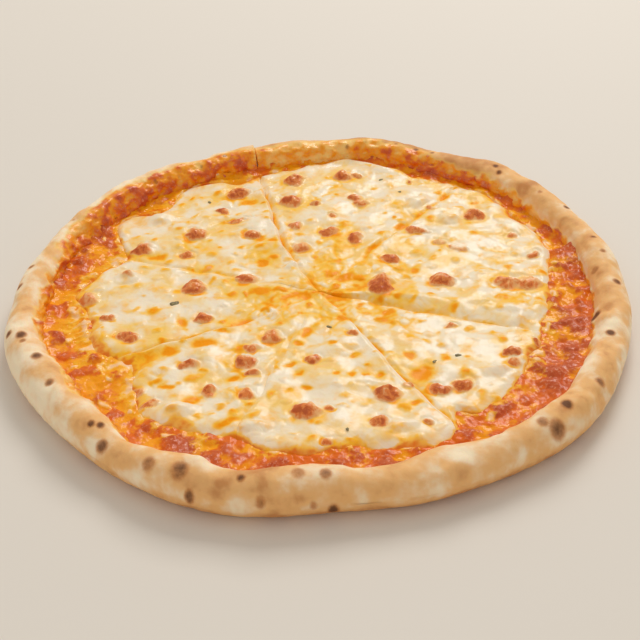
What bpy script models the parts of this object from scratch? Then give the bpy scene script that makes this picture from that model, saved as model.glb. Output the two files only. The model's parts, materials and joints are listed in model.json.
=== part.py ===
"""A round double cheese pizza, cut with a knife into seven slices that still lie together.

One piece of dough carries one layer of sauce, and seven slices of melted cheese lie on the sauce.
Sizes are in millimetres and angles in degrees, counter-clockwise from +X. Each piece is shaped in
millimetres about the pizza's middle, and place() takes it to metres.
"""

from math import asin, atan2, ceil, cos, degrees, exp, hypot, pi, radians, sin, sqrt

import bmesh
import bpy
from mathutils import Euler, Matrix, Vector, noise

# Dough: a flat base with a puffed rim round it
RADIUS = 149.1
RIM_WIDTH = 17.5
RIM_HEIGHT = 19.0
RIM_CREST_IN = 9.5  # the crest lies this far inside the outer edge
RIM_WAIST = 8.7  # height where the rim is widest
RIM_CONTACT_IN = 8.0  # the rim leaves the table this far inside the outer edge
BASE = 4.5
STEPS = 120
PUFF_DEPTH = 0.9
PUFF_LENGTH = 24.0

# Layers on the dough
GAP = 0.3
SAUCE_TOP = 6.6
SAUCE_RING_TOP = 7.7
SAUCE_BANK = 2.4  # how much higher the sauce stands against the rim's wall
SAUCE_LUMP = 1.1
SAUCE_LUMP_LENGTH = 9.0
SAUCE_RINGS = 6
CHEESE_TOP = 10.2
CHEESE_LIP = 0.9  # height of the cheese's bare side at a cut or at its melted edge
CHEESE_SHOULDER = 2.2  # how far from a cut the cheese rounds over
CHEESE_MELT = 6.5  # how far from its melted edge the cheese thins out
CHEESE_RADIUS = 110.0
CHEESE_CLEAR = 1.6  # least distance from the cheese to the rim's wall
CHEESE_SEAT = 0.6  # how far past the cheese's edge the sauce stays flat
CHEESE_CREEP = 4.0  # how far from its melted edge the cheese is raised by a climb
CHEESE_WAVE = 0.55
CHEESE_WAVE_LENGTH = 15.0
BLISTER_RISE = 0.24  # height of a blister for each millimetre of its width
SLICE_ROWS = 34
SLICE_COLUMN = 2.9
SLICE_TIP = 2.2
SLICE_DETAIL = 0.3  # share of the triangles that the slices keep

# Where an edge swells or is pinched: (angle, half width in degrees, millimetres)
OUTLINE_SWELLS = (
    (45, 8, 6.0), (76, 9, 3.0), (105, 11, -3.8), (124, 9, -2.0), (150, 8, -1.8),
    (195, 10, 2.3), (222, 9, -1.1), (249, 11, 2.6), (274, 9, -2.8), (317, 14, 3.4),
)
WALL_SWELLS = (
    (210, 7, 2.4), (233, 3, -1.6), (247, 6, 2.6), (266, 5, 2.0), (291, 7, 5.0), (45, 9, 3.5),
)
HEIGHT_SWELLS = (
    (20, 16, 0.8), (70, 12, -0.9), (138, 14, 0.7), (196, 13, 0.9), (233, 4, -1.2), (262, 16, 0.8),
    (289, 8, -0.7), (318, 7, 0.8),
)
CHEESE_SWELLS = (
    (22, 17, 13.0), (46, 13, 16.3), (66, 13, 12.4), (84, 13, 18.3), (103, 10, 10.3), (122, 10, 18.2),
    (144, 8, 18.6), (160, 6, -4.9), (176, 9, 8.9), (209, 8, -16.1), (230, 8, 7.5), (261, 9, 5.5),
    (292, 12, 11.2), (302, 3, -8.7), (312, 12, 3.9),
)
CHEESE_CLIMBS = ((79, 17, 3.6), (125, 7, 1.4))  # where the melted edge has crept up the rim

# Cuts: (angle at the rim, degrees by which the cut has turned at the middle)
CUTS = ((340, 0), (411, 1), (464, 16), (520, 0), (564, 19), (610, 0), (658, 0))
THROUGH_CUT = (464, 16)  # the one that also parts the rim
CUT_WIDTH = 0.8
CUT_SHORT = 4.0  # the other cuts stop this far inside the cheese's edge
# How far each slice has lifted along its first and its last cut
SLICE_LIFTS = ((2.6, 0.3), (0.0, -0.3), (1.3, 0.2), (0.5, -0.3), (1.0, 0.2), (0.0, 1.5), (-0.7, -1.0))
LIFT_REACH = 17.0

# Large blisters in the cheese: (x, y, width)
BLISTERS = (
    (28, 7, 13), (37, 27, 9), (60, 7, 12), (54, 50, 9), (84, 67, 13), (92, 2, 11), (101, 1, 11),
    (-11, 110, 13), (16, 113, 12), (-13, 87, 13), (23, 85, 12), (-11, 63, 9), (7, 55, 11),
    (20, 48, 12), (-8, 40, 11), (-42, 97, 13), (-63, 56, 12), (-33, 54, 10), (-90, 44, 14),
    (-67, 37, 9), (-35, 13, 12), (-61, 8, 14), (-109, 1, 12), (-90, -31, 11), (-55, -18, 9),
    (-60, -55, 12), (-50, -73, 9), (-34, -54, 10), (-31, -44, 9), (-22, -36, 10), (-33, -77, 9),
    (-7, -90, 14), (28, -80, 14), (23, -98, 9), (53, -77, 10), (61, -78, 11), (87, -54, 9),
)
# Large lumps in the ring of sauce: (radius, angle, width)
SAUCE_LUMPS = ((124, 9, 17), (122, 160, 13), (115, 205, 14), (124, 32, 12), (123, 326, 12))
SAUCE_LUMP_RISE = 1.6
# Flecks of dried herb: (x, y, length, turn)
HERBS = (
    (-70, -6, 4.0, 20), (10, -103, 3.0, 75), (4, -30, 3.0, 140), (62, -54, 3.4, 10),
    (51, -59, 2.6, 60), (-58, 90, 2.8, 100), (37, 107, 2.8, 35), (46, 93, 2.6, 160),
)
HERB_SHARE = (0.5, 0.28, 0.17)  # half sizes of a fleck for each millimetre of its length

FINISHES = {
    "crust": ((0.80, 0.56, 0.30), 0.75),
    "sauce": ((0.62, 0.13, 0.03), 0.35),
    "cheese": ((0.88, 0.70, 0.36), 0.4),
}


def swell(angle, features):
    """Sum of the smooth swells at an angle."""
    total = 0.0
    for middle, half_width, size in features:
        away = (angle - middle + 180) % 360 - 180
        total += size * exp(-((away / half_width) ** 2))
    return total


def wave(x, y, length, seed):
    """Smooth unevenness between about -1 and 1."""
    return 2 * noise.noise(Vector((x / length, y / length, seed)))


def cut_angle(cut, radius):
    """A cut is straight at the rim and turns towards the middle."""
    angle, turn = cut
    return angle + turn * max(0.0, 1 - radius / RADIUS) ** 2


def foot_radius(angle):
    """Radius where the rim's inner wall stands on the base."""
    wall = RIM_WIDTH + swell(angle, WALL_SWELLS)
    return RADIUS + swell(angle, OUTLINE_SWELLS) - wall


def cheese_radius(angle):
    """The melted edge of the cheese, which stops just short of the rim."""
    return min(CHEESE_RADIUS + swell(angle, CHEESE_SWELLS), foot_radius(angle) - CHEESE_CLEAR)


def rounded(share):
    """Height of a quarter circle, 0 at its start and 1 from share 1 on."""
    return sqrt(1 - (1 - min(share, 1.0)) ** 2)


def rim_shape(point):
    """Takes a point of the turned, even rim to the uneven one."""
    radius, angle = hypot(point.x, point.y), degrees(atan2(point.y, point.x))
    wall = RADIUS - RIM_WIDTH
    if radius < wall - GAP - 0.01:
        return point
    inwards = (RADIUS - radius) * (1 + swell(angle, WALL_SWELLS) / RIM_WIDTH)
    radius = RADIUS + swell(angle, OUTLINE_SWELLS) - inwards
    height = point.z * (1 + swell(angle, HEIGHT_SWELLS) / RIM_HEIGHT)
    return polar(radius, angle, height if point.z > RIM_WAIST else point.z)


def polar(radius, angle, height):
    return Vector((radius * cos(radians(angle)), radius * sin(radians(angle)), height))


def object_of(name, mesh, collection):
    piece = bpy.data.objects.new(name, mesh)
    collection.objects.link(piece)
    return piece


def turned(name, profile, collection):
    """A closed solid turned about Z from a profile of (radius, height), with its Screw applied."""
    mesh = bpy.data.meshes.new(name)
    points = [(radius, 0, height) for radius, height in profile]
    mesh.from_pydata(points, [(i, i + 1) for i in range(len(points) - 1)], [])
    piece = object_of(name, mesh, collection)
    screw = piece.modifiers.new("Turn", "SCREW")
    screw.steps = screw.render_steps = STEPS
    screw.use_merge_vertices = True
    screw.merge_threshold = 0.0001
    apply_modifiers(piece)
    return piece


def apply_modifiers(piece):
    graph = bpy.context.evaluated_depsgraph_get()
    mesh = bpy.data.meshes.new_from_object(piece.evaluated_get(graph))
    piece.modifiers.clear()
    piece.data = mesh


def place(piece, finish):
    """Takes a shaped piece to metres and gives it its material."""
    piece.data.transform(Matrix.Scale(0.001, 4))
    colour, roughness = FINISHES[finish]
    material = bpy.data.materials.get(finish) or bpy.data.materials.new(finish)
    material.use_nodes = True
    shader = material.node_tree.nodes["Principled BSDF"]
    shader.inputs["Base Color"].default_value = (*colour, 1)
    shader.inputs["Roughness"].default_value = roughness
    piece.data.materials.clear()
    piece.data.materials.append(material)
    piece.data.shade_smooth()
    piece.data.set_sharp_from_angle(angle=radians(40))


def arc(centre, radii, first, last, segments):
    """Points on part of an ellipse, the first one left out."""
    angles = [radians(first + (last - first) * i / segments) for i in range(1, segments + 1)]
    return [(centre[0] + radii[0] * cos(a), centre[1] + radii[1] * sin(a)) for a in angles]


def crust_profile():
    """From the middle of the base outwards, over the rim and back below."""
    crest, wall = RADIUS - RIM_CREST_IN, RADIUS - RIM_WIDTH
    rise = RIM_HEIGHT - RIM_WAIST
    inner = arc((crest, RIM_WAIST), (crest - wall, rise), 180, 90, 6)
    outer = arc((crest, RIM_WAIST), (RIM_CREST_IN, rise), 90, 0, 5)
    under = arc((RADIUS - RIM_CONTACT_IN, RIM_WAIST), (RIM_CONTACT_IN, RIM_WAIST), 0, -90, 4)
    return [(0, BASE), (wall, BASE), (wall, RIM_WAIST), *inner, *outer, *under, (0, 0)]


def make_crust(collection):
    """The dough: its rim made uneven, then puffed where it stands clear of the sauce."""
    crust = turned("crust", crust_profile(), collection)
    for vertex in crust.data.vertices:
        even = vertex.co.copy()
        vertex.co = rim_shape(even)
        if even.z > RIM_WAIST + 0.01:
            share = (even.z - RIM_WAIST) / (RIM_HEIGHT - RIM_WAIST)
            puff = PUFF_DEPTH * min(1, 2 * share) * wave(even.x, even.y, PUFF_LENGTH, even.z / 30)
            outwards = polar(1, degrees(atan2(even.y, even.x)), 0)
            side = 1 if hypot(even.x, even.y) > RADIUS - RIM_CREST_IN else -1
            vertex.co += outwards * (side * puff * sqrt(1 - share**2)) + Vector((0, 0, puff * share))
    return crust


def sauce_height(radius, angle, share):
    """Height of the ring of sauce; share runs from 0 at the cheese to 1 at the rim."""
    x, y, _ = polar(radius, angle, 0)
    height = SAUCE_RING_TOP + SAUCE_LUMP * wave(x, y, SAUCE_LUMP_LENGTH, 3.7)
    for lump_radius, lump_angle, width in SAUCE_LUMPS:
        lump = polar(lump_radius, lump_angle, 0)
        away = hypot(x - lump.x, y - lump.y) / (width / 2)
        height += SAUCE_LUMP_RISE * exp(-(away**2))
    return SAUCE_TOP + (max(height, SAUCE_TOP) - SAUCE_TOP) * min(1, 3 * share) + SAUCE_BANK * share**4


def make_sauce(collection):
    """One disc of sauce: flat below the cheese, and lumpy in the ring that shows."""
    outer = RADIUS - RIM_WIDTH - GAP
    rings = [CHEESE_RADIUS + (outer - CHEESE_RADIUS) * i / SAUCE_RINGS for i in range(SAUCE_RINGS + 1)]
    profile = [(0, SAUCE_TOP), *((ring, SAUCE_TOP) for ring in rings), (outer, BASE + GAP), (0, BASE + GAP)]
    sauce = turned("sauce", profile, collection)
    for vertex in sauce.data.vertices:
        even = vertex.co.copy()
        radius, angle = hypot(even.x, even.y), degrees(atan2(even.y, even.x))
        if radius < CHEESE_RADIUS - 1:
            continue
        share = (radius - CHEESE_RADIUS) / (outer - CHEESE_RADIUS)
        flat = cheese_radius(angle) + CHEESE_SEAT
        radius = flat + (foot_radius(angle) - GAP - flat) * share
        top = sauce_height(radius, angle, share) if even.z > BASE + GAP + 0.01 else even.z
        vertex.co = polar(radius, angle, top)
    return sauce


def blister_height(x, y):
    """Domes of the blisters at a point, the tallest of them where they meet."""
    tallest = 0.0
    for middle_x, middle_y, width in BLISTERS:
        away = hypot(x - middle_x, y - middle_y) / (width / 2)
        if away < 1.3:
            tallest = max(tallest, BLISTER_RISE * width * exp(-((away / 0.72) ** 4)))
    return tallest


def slice_cuts(index):
    """The first and the last cut of a slice, the last at the larger angle."""
    first = CUTS[index]
    angle, turn = CUTS[(index + 1) % len(CUTS)]
    return first, (angle if angle > first[0] else angle + 360, turn)


def cheese_height(index, radius, angle):
    """Top of a slice: its lift, waves and blisters, rounded over at the cuts and at the edge."""
    first, last = slice_cuts(index)
    from_first = radius * sin(radians(min(90, angle - cut_angle(first, radius))))
    from_last = radius * sin(radians(min(90, cut_angle(last, radius) - angle)))
    along = min(1, radius / 45) * min(1, max(0, (cheese_radius(angle) - radius) / 20))
    first_lift, last_lift = SLICE_LIFTS[index]
    lift = first_lift * exp(-((from_first / LIFT_REACH) ** 2))
    lift += last_lift * exp(-((from_last / LIFT_REACH) ** 2))
    x, y, _ = polar(radius, angle, 0)
    top = CHEESE_TOP + lift * along + CHEESE_WAVE * wave(x, y, CHEESE_WAVE_LENGTH, index + 0.5)
    top += blister_height(x, y)
    lip = SAUCE_TOP + GAP + CHEESE_LIP
    cut_share = rounded(max(0, min(from_first, from_last) - CUT_WIDTH / 2) / CHEESE_SHOULDER)
    from_edge = max(0, cheese_radius(angle) - radius)
    climb = swell(angle, CHEESE_CLIMBS) * exp(-((from_edge / CHEESE_CREEP) ** 2))
    return lip + (top - lip) * min(cut_share, rounded(from_edge / CHEESE_MELT)) + climb * cut_share


def make_slice(index, collection):
    """A grid laid between two cuts, raised to its relief, closed below and thinned out."""
    first, last = slice_cuts(index)
    columns = ceil((last[0] - first[0]) / SLICE_COLUMN)
    grid = bmesh.new()
    bmesh.ops.create_grid(grid, x_segments=columns, y_segments=SLICE_ROWS, size=1)
    for vertex in grid.verts:
        across = (1 - cos(pi * (vertex.co.x + 1) / 2)) / 2
        out = 1 - (0.5 - vertex.co.y / 2) ** 1.35
        middle = cheese_radius(first[0] + (last[0] - first[0]) * across)
        radius = SLICE_TIP + (middle - SLICE_TIP) * out
        clear = degrees(asin(CUT_WIDTH / 2 / radius))
        low, high = cut_angle(first, radius) + clear, cut_angle(last, radius) - clear
        angle = low + (high - low) * across
        vertex.co = polar(radius, angle, cheese_height(index, radius, angle))
    below = bmesh.ops.extrude_face_region(grid, geom=grid.faces[:])["geom"]
    for vertex in below:
        if isinstance(vertex, bmesh.types.BMVert):
            vertex.co.z = SAUCE_TOP + GAP
    bmesh.ops.recalc_face_normals(grid, faces=grid.faces[:])
    mesh = bpy.data.meshes.new(f"cheese_slice_{index + 1}")
    grid.to_mesh(mesh)
    grid.free()
    piece = object_of(mesh.name, mesh, collection)
    thin = piece.modifiers.new("Thin out", "DECIMATE")
    thin.ratio = SLICE_DETAIL
    thin.use_collapse_triangulate = True
    apply_modifiers(piece)
    return piece


def slice_at(radius, angle):
    """The number of the slice that holds a point, and its angle counted as the slice's cuts are."""
    for index in range(len(CUTS)):
        first, last = slice_cuts(index)
        low, high = cut_angle(first, radius), cut_angle(last, radius)
        turned_angle = low + (angle - low) % 360
        if turned_angle < high:
            return index, turned_angle
    raise ValueError("no slice holds this point")


def fuse_herbs(slices):
    """Thin flecks of dried herb, each joined to the slice that it lies on."""
    flecks = [bpy.data.collections.new(f"flecks_{index + 1}") for index in range(len(slices))]
    for collection in flecks:
        bpy.context.scene.collection.children.link(collection)
    for number, (x, y, length, turn) in enumerate(HERBS):
        radius, angle = hypot(x, y), degrees(atan2(y, x))
        index, angle = slice_at(radius, angle)
        height = cheese_height(index, radius, angle)
        shape = bmesh.new()
        bmesh.ops.create_icosphere(shape, subdivisions=1, radius=1)
        size = Matrix.Diagonal((*(length * share for share in HERB_SHARE), 1))
        lean = Euler((0.1, 0.12, radians(turn))).to_matrix().to_4x4()
        bmesh.ops.transform(shape, matrix=Matrix.Translation((x, y, height)) @ lean @ size, verts=shape.verts)
        mesh = bpy.data.meshes.new(f"fleck_{number + 1}")
        shape.to_mesh(mesh)
        shape.free()
        object_of(mesh.name, mesh, flecks[index])
    for piece, collection in zip(slices, flecks):
        if collection.objects:
            join = piece.modifiers.new("Herbs", "BOOLEAN")
            join.operation = "UNION"
            join.operand_type = "COLLECTION"
            join.collection = collection
            apply_modifiers(piece)
        for fleck in list(collection.objects):
            bpy.data.objects.remove(fleck)
        bpy.data.collections.remove(collection)


def make_blade(number, cut, collection):
    """A thin upright blade along a cut, from the middle out."""
    length = RADIUS * 1.1 if cut == THROUGH_CUT else cheese_radius(cut[0]) - CUT_SHORT
    shape = bmesh.new()
    bmesh.ops.create_cube(shape, size=1)
    along = [edge for edge in shape.edges if abs(edge.verts[0].co.x - edge.verts[1].co.x) > 0.5]
    bmesh.ops.subdivide_edges(shape, edges=along, cuts=9, use_grid_fill=True)
    for vertex in shape.verts:
        radius = length * (vertex.co.x + 0.5)
        angle = cut_angle(cut, radius)
        side = polar(CUT_WIDTH * vertex.co.y, angle + 90, 0)
        vertex.co = polar(radius, angle, 3 * RIM_HEIGHT * vertex.co.z) + side
    bmesh.ops.transform(shape, matrix=Matrix.Scale(0.001, 4), verts=shape.verts)
    mesh = bpy.data.meshes.new(f"blade_{number + 1}")
    shape.to_mesh(mesh)
    shape.free()
    blade = object_of(mesh.name, mesh, collection)
    blade.hide_render = True
    blade.display_type = "WIRE"


def cut_through(piece, blades):
    slit = piece.modifiers.new("Cuts", "BOOLEAN")
    slit.operation = "DIFFERENCE"
    slit.operand_type = "COLLECTION"
    slit.collection = blades


def main():
    for old in list(bpy.data.objects):
        bpy.data.objects.remove(old)
    pizza = bpy.data.collections.new("double_cheese_pizza")
    blades = bpy.data.collections.new("cutters")
    bpy.context.scene.collection.children.link(pizza)
    bpy.context.scene.collection.children.link(blades)
    for number, cut in enumerate(CUTS):
        make_blade(number, cut, blades)
    for make, finish in ((make_crust, "crust"), (make_sauce, "sauce")):
        layer = make(pizza)
        place(layer, finish)
        cut_through(layer, blades)
    slices = [make_slice(index, pizza) for index in range(len(CUTS))]
    fuse_herbs(slices)
    for piece in slices:
        place(piece, "cheese")


main()
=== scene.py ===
"""A round double cheese pizza, still warm and cut with a knife into seven slices that lie together.

The pieces are the dough, the layer of tomato sauce with the bits of cheese that have run into it, seven
slices of melted cheese with blisters that have browned in the oven, and flecks of dried herb. Each piece
is shaped in millimetres about the pizza's middle, with angles in degrees counter-clockwise from +X, and
is taken to metres when it is finished.
"""

import json
from itertools import product
from math import hypot, radians

import bmesh
import bpy
import numpy as np
from bpy.props import FloatProperty, FloatVectorProperty, PointerProperty
from mathutils import Color, Matrix, Quaternion, Vector, noise

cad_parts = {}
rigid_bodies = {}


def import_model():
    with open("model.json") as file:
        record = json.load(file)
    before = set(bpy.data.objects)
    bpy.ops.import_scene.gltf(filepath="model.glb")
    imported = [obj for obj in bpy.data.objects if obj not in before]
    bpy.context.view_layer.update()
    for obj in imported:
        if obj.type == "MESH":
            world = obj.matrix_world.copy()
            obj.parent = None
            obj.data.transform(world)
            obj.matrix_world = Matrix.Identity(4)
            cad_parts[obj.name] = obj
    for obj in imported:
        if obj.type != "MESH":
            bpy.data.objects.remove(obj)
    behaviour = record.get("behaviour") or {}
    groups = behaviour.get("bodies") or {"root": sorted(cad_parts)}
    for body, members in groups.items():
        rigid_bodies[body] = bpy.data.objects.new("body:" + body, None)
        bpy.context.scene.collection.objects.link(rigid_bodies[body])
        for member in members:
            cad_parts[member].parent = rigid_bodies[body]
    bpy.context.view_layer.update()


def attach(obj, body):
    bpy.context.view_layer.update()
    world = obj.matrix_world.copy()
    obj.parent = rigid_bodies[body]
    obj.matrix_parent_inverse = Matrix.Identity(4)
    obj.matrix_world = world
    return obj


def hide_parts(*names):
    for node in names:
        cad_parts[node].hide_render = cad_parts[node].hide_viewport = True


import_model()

bl_info = {
    "name": "Double Cheese Pizza",
    "version": (1, 0, 0),
    "blender": (4, 5, 0),
    "location": "3D Viewport > Sidebar > Pizza",
    "description": "Models a sliced cheese pizza and the plain stage that it lies on",
    "category": "Add Mesh",
}

METRE = 0.001  # one millimetre in metres

# ---------------------------------------------------------------- layout, in millimetres and degrees

# Where something swells or is pinched: (angle, half width in degrees, millimetres).
# First the rim's outer edge, its inner wall and its height, then the cheese's reach and its climb.
OUTLINE_SWELLS = (
    (45, 8, 6.0), (76, 9, 3.0), (105, 11, -3.8), (124, 9, -2.0), (150, 8, -1.8), (195, 10, 2.3),
    (222, 9, -1.1), (249, 11, 2.6), (274, 9, -2.8), (317, 14, 3.4),
)
WALL_SWELLS = (
    (210, 7, 2.4), (233, 3, -1.6), (247, 5, 3.8), (257, 3, -1.2), (267, 5, 3.6), (275.5, 2.5, -1.6),
    (291, 7, 5.0), (45, 9, 3.5),
)
HEIGHT_SWELLS = (
    (20, 16, 0.8), (70, 12, -0.9), (138, 14, 0.7), (196, 13, 0.9), (233, 4, -1.2), (262, 16, 0.8),
    (281, 9, -1.4), (247, 4, 1.0), (256.5, 3.5, -1.0), (275.5, 2.5, -1.2), (318, 7, 0.8),
)
CHEESE_SWELLS = (
    (22, 17, 13.0), (46, 13, 16.3), (66, 13, 9.5), (84, 13, 18.3), (103, 10, 10.3), (122, 10, 18.2),
    (144, 8, 18.6), (160, 6, -4.9), (176, 9, 8.9), (200, 4, 4.5), (211, 7, -8.5), (230, 8, 7.5),
    (261, 9, 5.5), (292, 12, 11.2), (302, 3, -8.7), (312, 12, 3.9),
)
CHEESE_CLIMBS = ((79, 17, 3.6), (125, 7, 1.4))

# Cuts: (angle at the rim, degrees by which the cut has turned at the middle)
CUTS = ((340, 0), (411, 1), (464, 16), (520, 0), (564, 19), (610, 0), (658, 0))
THROUGH_CUT = 2  # the one that also parts the rim
# How far each slice has lifted along its first and its last cut
SLICE_LIFTS = ((3.2, 0.2), (0.0, -0.3), (1.2, 0.1), (0.3, -0.5), (1.2, 0.2), (0.4, 0.9), (-0.3, -0.9))
# How widely each slice rounds over at its first and its last cut
SLICE_SHOULDERS = ((11.0, 3.0), (3.0, 3.4), (2.4, 3.0), (3.0, 3.0), (2.2, 3.0), (2.4, 2.6), (3.6, 3.0))
# How much of its thickness the cheese loses in the crease of each of those cuts
SLICE_CREASES = ((1.0, 0.4), (0.4, 0.95), (0.85, 0.3), (0.3, 0.5), (0.35, 0.35), (0.35, 0.35), (0.35, 0.6))
# How much oil has gathered along each of those cuts; 0 leaves a pale edge, a painted highlight on the raised
# edge
SLICE_OILS = ((0.7, 0.7), (0.7, 0.6), (0.0, 0.4), (0.3, 0.9), (0.0, 0.5), (0.2, 0.0), (0.9, 0.4))

# Browned blisters in the cheese: (x, y, length, width, turn, how brown)
BLISTERS = (
    (31, 3, 19, 13, 75, 1.1), (37, 27, 10, 9, 0, 0.9), (61, 6, 15, 12, 10, 1.0),
    (52, 53, 15, 8, -15, 0.75), (63, 41, 8, 6, 0, 0.42), (69, 35, 7, 6, 0, 0.4), (62, 75, 5, 4, 0, 0.5),
    (84, 67, 13, 12, 0, 0.95), (93, 2, 17, 11, 0, 0.72), (103, 1, 14, 11, -10, 0.66),
    (101, 45, 6, 5, 0, 0.6), (109, 26, 7, 5, 30, 0.7), (74, 33, 8, 6, 0, 0.5), (53, 104, 4, 4, 0, 0.6),
    (-11, 110, 14, 12, -20, 0.95), (16, 113, 12, 10, 0, 1.0), (24, 113, 7, 6, 0, 0.6),
    (-13, 87, 15, 11, -15, 0.95), (0, 84, 7, 7, 0, 0.9), (22, 88, 11, 8, 0, 0.8), (25, 82, 11, 7, 0, 0.75),
    (-11, 63, 9, 8, 0, 0.6), (7, 55, 12, 10, 0, 0.8), (20, 48, 13, 10, 60, 0.9), (-8, 40, 12, 10, 0, 0.6),
    (9, 71, 4, 4, 0, 0.7), (-42, 97, 14, 11, 5, 1.0), (-50, 79, 9, 7, 0, 0.85), (-41, 69, 16, 4, 15, 0.6),
    (-63, 56, 13, 11, 0, 0.9), (-33, 54, 11, 8, -20, 0.75), (-90, 44, 14, 11, 0, 0.95),
    (-95, 19, 7, 6, 0, 0.45), (-67, 37, 9, 7, 0, 0.9), (-35, 13, 13, 10, 10, 0.9),
    (-61, 8, 15, 12, 0, 0.95), (-112, 1, 13, 10, 0, 0.65), (-101, -15, 9, 7, 0, 0.9),
    (-90, -31, 12, 9, 10, 0.85), (-55, -18, 10, 9, 0, 1.0), (-60, -55, 13, 8, 10, 0.8),
    (-50, -73, 10, 9, 0, 1.05), (-34, -54, 12, 10, 0, 0.85), (-31, -62, 8, 6, 0, 0.65),
    (-31, -44, 10, 7, 0, 0.65), (-22, -36, 11, 10, 0, 0.65), (-82, -71, 9, 7, 0, 0.9),
    (-75, -80, 13, 4, 20, 0.8), (-33, -77, 9, 7, -30, 0.75), (-7, -90, 15, 12, 15, 1.15),
    (3, -89, 5, 5, 0, 0.6), (-4, -53, 9, 7, 0, 0.85), (28, -80, 14, 12, 0, 1.15), (38, -75, 5, 5, 0, 0.55),
    (23, -98, 9, 8, 0, 0.95), (44, -100, 6, 5, 0, 0.7), (1, -109, 5, 4, 0, 0.65), (15, -36, 7, 6, 0, 0.65),
    (52, -78, 12, 8, 10, 0.9), (62, -76, 11, 10, 0, 0.95), (87, -54, 9, 8, 0, 1.05),
    (99, -46, 5, 5, 0, 0.75), (87, -62, 8, 6, 0, 0.6), (61, -31, 5, 5, 0, 0.7),
)
# Spots where orange oil shows: (x, y, length, width, turn)
OIL_SPOTS = (
    (44, 57, 7, 4, 20), (70, 87, 8, 5, 60), (48, 15, 6, 4, 0), (33, -1, 9, 6, 80), (-24, 123, 6, 5, 0),
    (-36, 88, 9, 6, 10), (-82, 37, 11, 6, 10), (-24, 47, 6, 5, 0), (-28, 27, 7, 6, 0), (-29, 50, 9, 4, 40),
    (-29, 1, 10, 6, 10), (-65, -22, 11, 5, 110), (-54, -40, 12, 8, 0), (-70, -44, 9, 7, 0),
    (-46, -31, 6, 4, 0), (-37, -23, 13, 8, 30), (-57, -79, 10, 6, 20), (-41, -95, 10, 4, 15),
    (-85, -50, 22, 17, 30), (-39, -65, 5, 4, 0), (-69, -70, 6, 5, 0), (40, -87, 7, 4, 0),
    (10, -24, 5, 4, 0), (-6, -33, 9, 5, 60), (5, -43, 4, 3, 0), (16, -52, 4, 3, 0), (7, -65, 4, 3, 0),
    (14, -66, 4, 3, 90), (26, -67, 4, 4, 0), (-14, -57, 4, 3, 0), (-10, -63, 4, 3, 0), (-6, -74, 5, 3, 0),
    (-15, -75, 4, 3, 0), (-10, -42, 4, 3, 0), (40, -54, 7, 6, 0), (45, -66, 15, 10, 60),
    (33, -18, 7, 5, 0), (64, -18, 9, 5, 80), (-13, -3, 9, 5, 20), (-6, -3, 7, 4, 100), (9, -5, 9, 5, -20),
    (13, 11, 10, 4, 50),
)
# Pale mounds of cheese that have not browned: (x, y, length, width, turn and, unless 1, strength)
PALE_MOUNDS = (
    (-84, 74, 25, 15, 20, 0.8), (-95, 19, 17, 16, 0, 1.0), (-62, -86, 18, 12, 10), (-30, -98, 20, 9, 0),
    (55, 82, 20, 12, 40), (70, 62, 16, 12, 0), (33, -102, 18, 8, 0), (78, -66, 16, 9, 20),
    (92, -30, 15, 10, 60), (-12, 24, 14, 9, 30),
)
# Charred marks on the rim: (radius, angle, height, size, how dark)
CHAR_MARKS = (
    (144, 172, 18, 4, 0.7), (146, 178, 16, 4, 0.8), (142.5, 196, 20, 6, 1.0), (148, 194, 17, 4, 0.9),
    (142.5, 198, 19, 4, 0.6), (139, 204, 20, 6, 0.9), (140, 212, 18, 5, 0.75), (141, 226.5, 18, 4, 0.95),
    (139, 228, 18, 4, 0.95), (145.5, 231, 15, 6, 0.85), (146, 241, 18, 7, 0.65), (145, 246.5, 18, 9, 0.75),
    (143, 256.5, 19, 4, 0.95), (151, 249, 11.5, 5, 0.85), (149.5, 260, 13, 5, 0.65),
    (139, 265.5, 20, 7, 0.55), (139, 270, 19.5, 6, 0.7), (147.5, 268, 10, 4, 0.5), (146, 271, 6, 5, 1.0),
    (144.5, 314.5, 20, 6, 0.95), (149, 310, 16, 9, 0.7), (144, 308.5, 19, 6, 0.65),
    (147, 324, 18, 6, 0.75), (140.5, 338.5, 18, 5, 1.1), (132.5, 346, 12, 6, 1.1),
    (142.5, 355, 18, 5, 0.85), (134, 0, 17, 5, 0.6), (140.5, 5, 18, 4, 0.9), (140.5, 10.5, 18, 4, 0.8),
    (142.5, 23.5, 18, 4, 1.0), (139, 31, 18, 4, 0.6), (140.5, 44, 18, 4, 0.9), (144, 46, 17, 4.5, 0.9),
    (140, 61.5, 18, 3, 0.8), (140, 65.5, 18, 4, 0.8), (141, 70.5, 17, 3, 0.7), (136, 82, 18, 5, 0.7),
    (130.5, 93, 18, 5, 0.6), (134.5, 112, 19, 4, 0.8), (133, 118.5, 18.5, 4, 0.8),
    (133.5, 131, 17.5, 4, 0.65), (137, 149.5, 17, 4, 0.6), (141.5, 154, 17, 3, 0.6),
    (136, 158, 17, 4, 0.5),
)
# Soft golden-brown patches on the rim: (radius, angle, height, size, how brown)
TOASTED = (
    (146, 199, 18, 12, 0.8), (134, 209, 18, 8, 0.7), (145, 224, 16, 11, 0.8), (145.5, 235, 15, 13, 0.9),
    (147, 249.5, 17, 11, 0.8), (149, 253.5, 14, 13, 1.0), (147, 260, 17, 12, 0.8), (148, 265, 14, 9, 1.1),
    (150, 273, 13, 10, 0.6), (142, 281, 17.5, 10, 0.6), (145, 312, 19, 11, 1.0), (143.5, 304, 18, 14, 0.8),
    (137, 347, 18, 10, 0.9), (143, 330, 19, 12, 0.7), (140, 352, 18, 12, 0.7), (146, 318, 18, 12, 0.6),
    (140, 186, 18, 12, 0.6), (142, 17, 17, 14, 0.6), (140, 36, 17, 14, 0.7), (138, 76, 17, 16, 0.8),
    (147, 292, 15, 10, 0.5), (138, 100, 18, 10, 0.5), (141, 143, 17, 11, 0.6), (151, 216, 10, 9, 0.5),
)
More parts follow.
